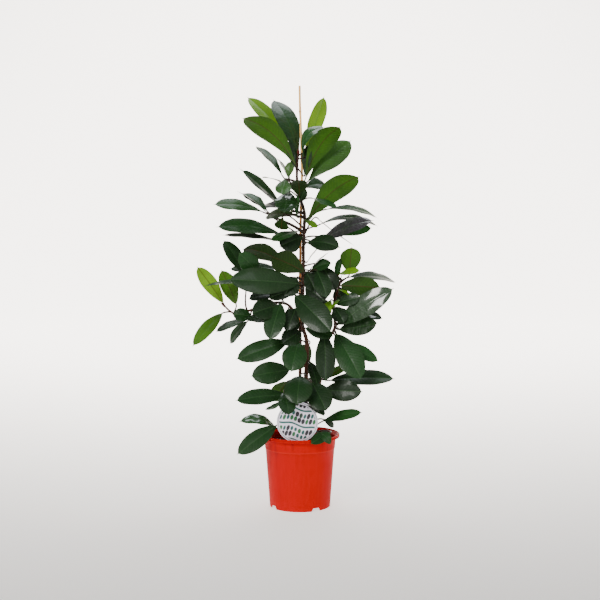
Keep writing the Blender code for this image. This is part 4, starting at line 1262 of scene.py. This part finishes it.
def make_floor(stage):
    """A round floor that bends up into a wall: a profile of a flat run, a quarter circle and an
    upright run, turned round the Z axis."""
    bend = np.radians(np.linspace(0, 90, 19))
    flat = np.array((0.001, 0.6, 1.5, 3.0, stage.radius))
    out = np.concatenate([flat, stage.radius + stage.cove * np.sin(bend[1:])])
    up = np.concatenate([flat * 0, stage.cove * (1 - np.cos(bend[1:]))])
    out, up = np.append(out, out[-1]), np.append(up, up[-1] + WALL_HEIGHT)
    points = turned_rings(np.stack([out, up], axis=1), circle(FLOOR_SIDES))
    faces = [face[::-1] for face in loft_faces(len(out), FLOOR_SIDES, capped=False)]
    mesh = bpy.data.meshes.new("studio_floor")
    mesh.from_pydata(points.reshape(-1, 3).tolist(), [], faces + [list(range(FLOOR_SIDES))])
    mesh.shade_smooth()
    shader = Shader("studio_floor")
    x, y, z = shader.axes(shader.place())
    apart = ((x - GLOW_PLACE[0]) ** 2 + (y - GLOW_PLACE[1]) ** 2 + (z - GLOW_PLACE[2]) ** 2) ** 0.5
    glow = apart.step(GLOW_FAR, GLOW_NEAR)
    mesh.materials.append(shader.finish(
        Base_Color=stage.floor, Roughness=0.9, Emission_Strength=GLOW_STRENGTH,
        Emission_Color=shader.mix(glow, (0.06, 0.057, 0.054), (1.0, 0.94, 0.88)),
    ))
    floor = bpy.data.objects.new("studio_floor", mesh)
    bpy.context.scene.collection.objects.link(floor)


def add_light(name, place, aim, size, power, colour):
    """A rectangular softbox at a place, turned to its aim."""
    light = bpy.data.lights.new(name, "AREA")
    light.shape = "RECTANGLE"
    light.size, light.size_y = size
    light.energy = power
    light.color = colour
    lamp = bpy.data.objects.new(name, light)
    lamp.location = place
    lamp.rotation_euler = (Vector(aim) - Vector(place)).to_track_quat("-Z", "Y").to_euler()
    lamp.visible_camera = False
    bpy.context.scene.collection.objects.link(lamp)


def add_camera():
    """The camera stands at the eye that the leaf tables are read from."""
    camera = bpy.data.objects.new("camera", bpy.data.cameras.new("camera"))
    camera.data.lens = LENS
    camera.data.clip_end = 50.0
    camera.data.shift_y = SHIFT_UP
    camera.location = (0.0, -EYE_DISTANCE * MM, EYE_HEIGHT * MM)
    aim = Vector((0.0, 0.0, AIM_HEIGHT * MM)) - camera.location
    camera.rotation_euler = aim.to_track_quat("-Z", "Y").to_euler()
    bpy.context.scene.collection.objects.link(camera)
    bpy.context.scene.camera = camera


class FIG_PT_panel(bpy.types.Panel):
    """Lists the pieces of the potted fig."""

    bl_label = "Potted African Fig"
    bl_idname = "FIG_PT_panel"
    bl_space_type = "VIEW_3D"
    bl_region_type = "UI"
    bl_category = "Fig"

    def draw(self, context):
        for operator, group in STEPS:
            self.layout.operator(operator)
            settings = getattr(context.scene, group)
            for name in settings.__annotations__:
                self.layout.prop(settings, name)


STEPS = (
    ("fig.make_pot", "fig_pot"),
    ("fig.fill_soil", "fig_pot"),
    ("fig.make_cane", "fig_cane"),
    ("fig.make_label", "fig_label"),
    ("fig.grow_stems", "fig_leaves"),
    ("fig.set_stage", "fig_stage"),
)
GROUPS = {
    "fig_leaves": LeafSettings, "fig_pot": PotSettings, "fig_cane": CaneSettings,
    "fig_label": LabelSettings, "fig_stage": StageSettings,
}
CLASSES = (
    *GROUPS.values(), FIG_OT_make_pot, FIG_OT_fill_soil, FIG_OT_make_cane, FIG_OT_make_label,
    FIG_OT_grow_stems, FIG_OT_set_stage, FIG_PT_panel,
)


def register():
    for each in CLASSES:
        bpy.utils.register_class(each)
    for name, group in GROUPS.items():
        setattr(bpy.types.Scene, name, PointerProperty(type=group))


def unregister():
    for name in GROUPS:
        delattr(bpy.types.Scene, name)
    for each in reversed(CLASSES):
        bpy.utils.unregister_class(each)


def main():
    register()
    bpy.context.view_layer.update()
    bpy.ops.fig.make_pot()
    bpy.ops.fig.fill_soil()
    bpy.ops.fig.make_cane()
    bpy.ops.fig.make_label()
    bpy.ops.fig.grow_stems()
    bpy.ops.fig.set_stage()


if __name__ == "__main__":
    main()
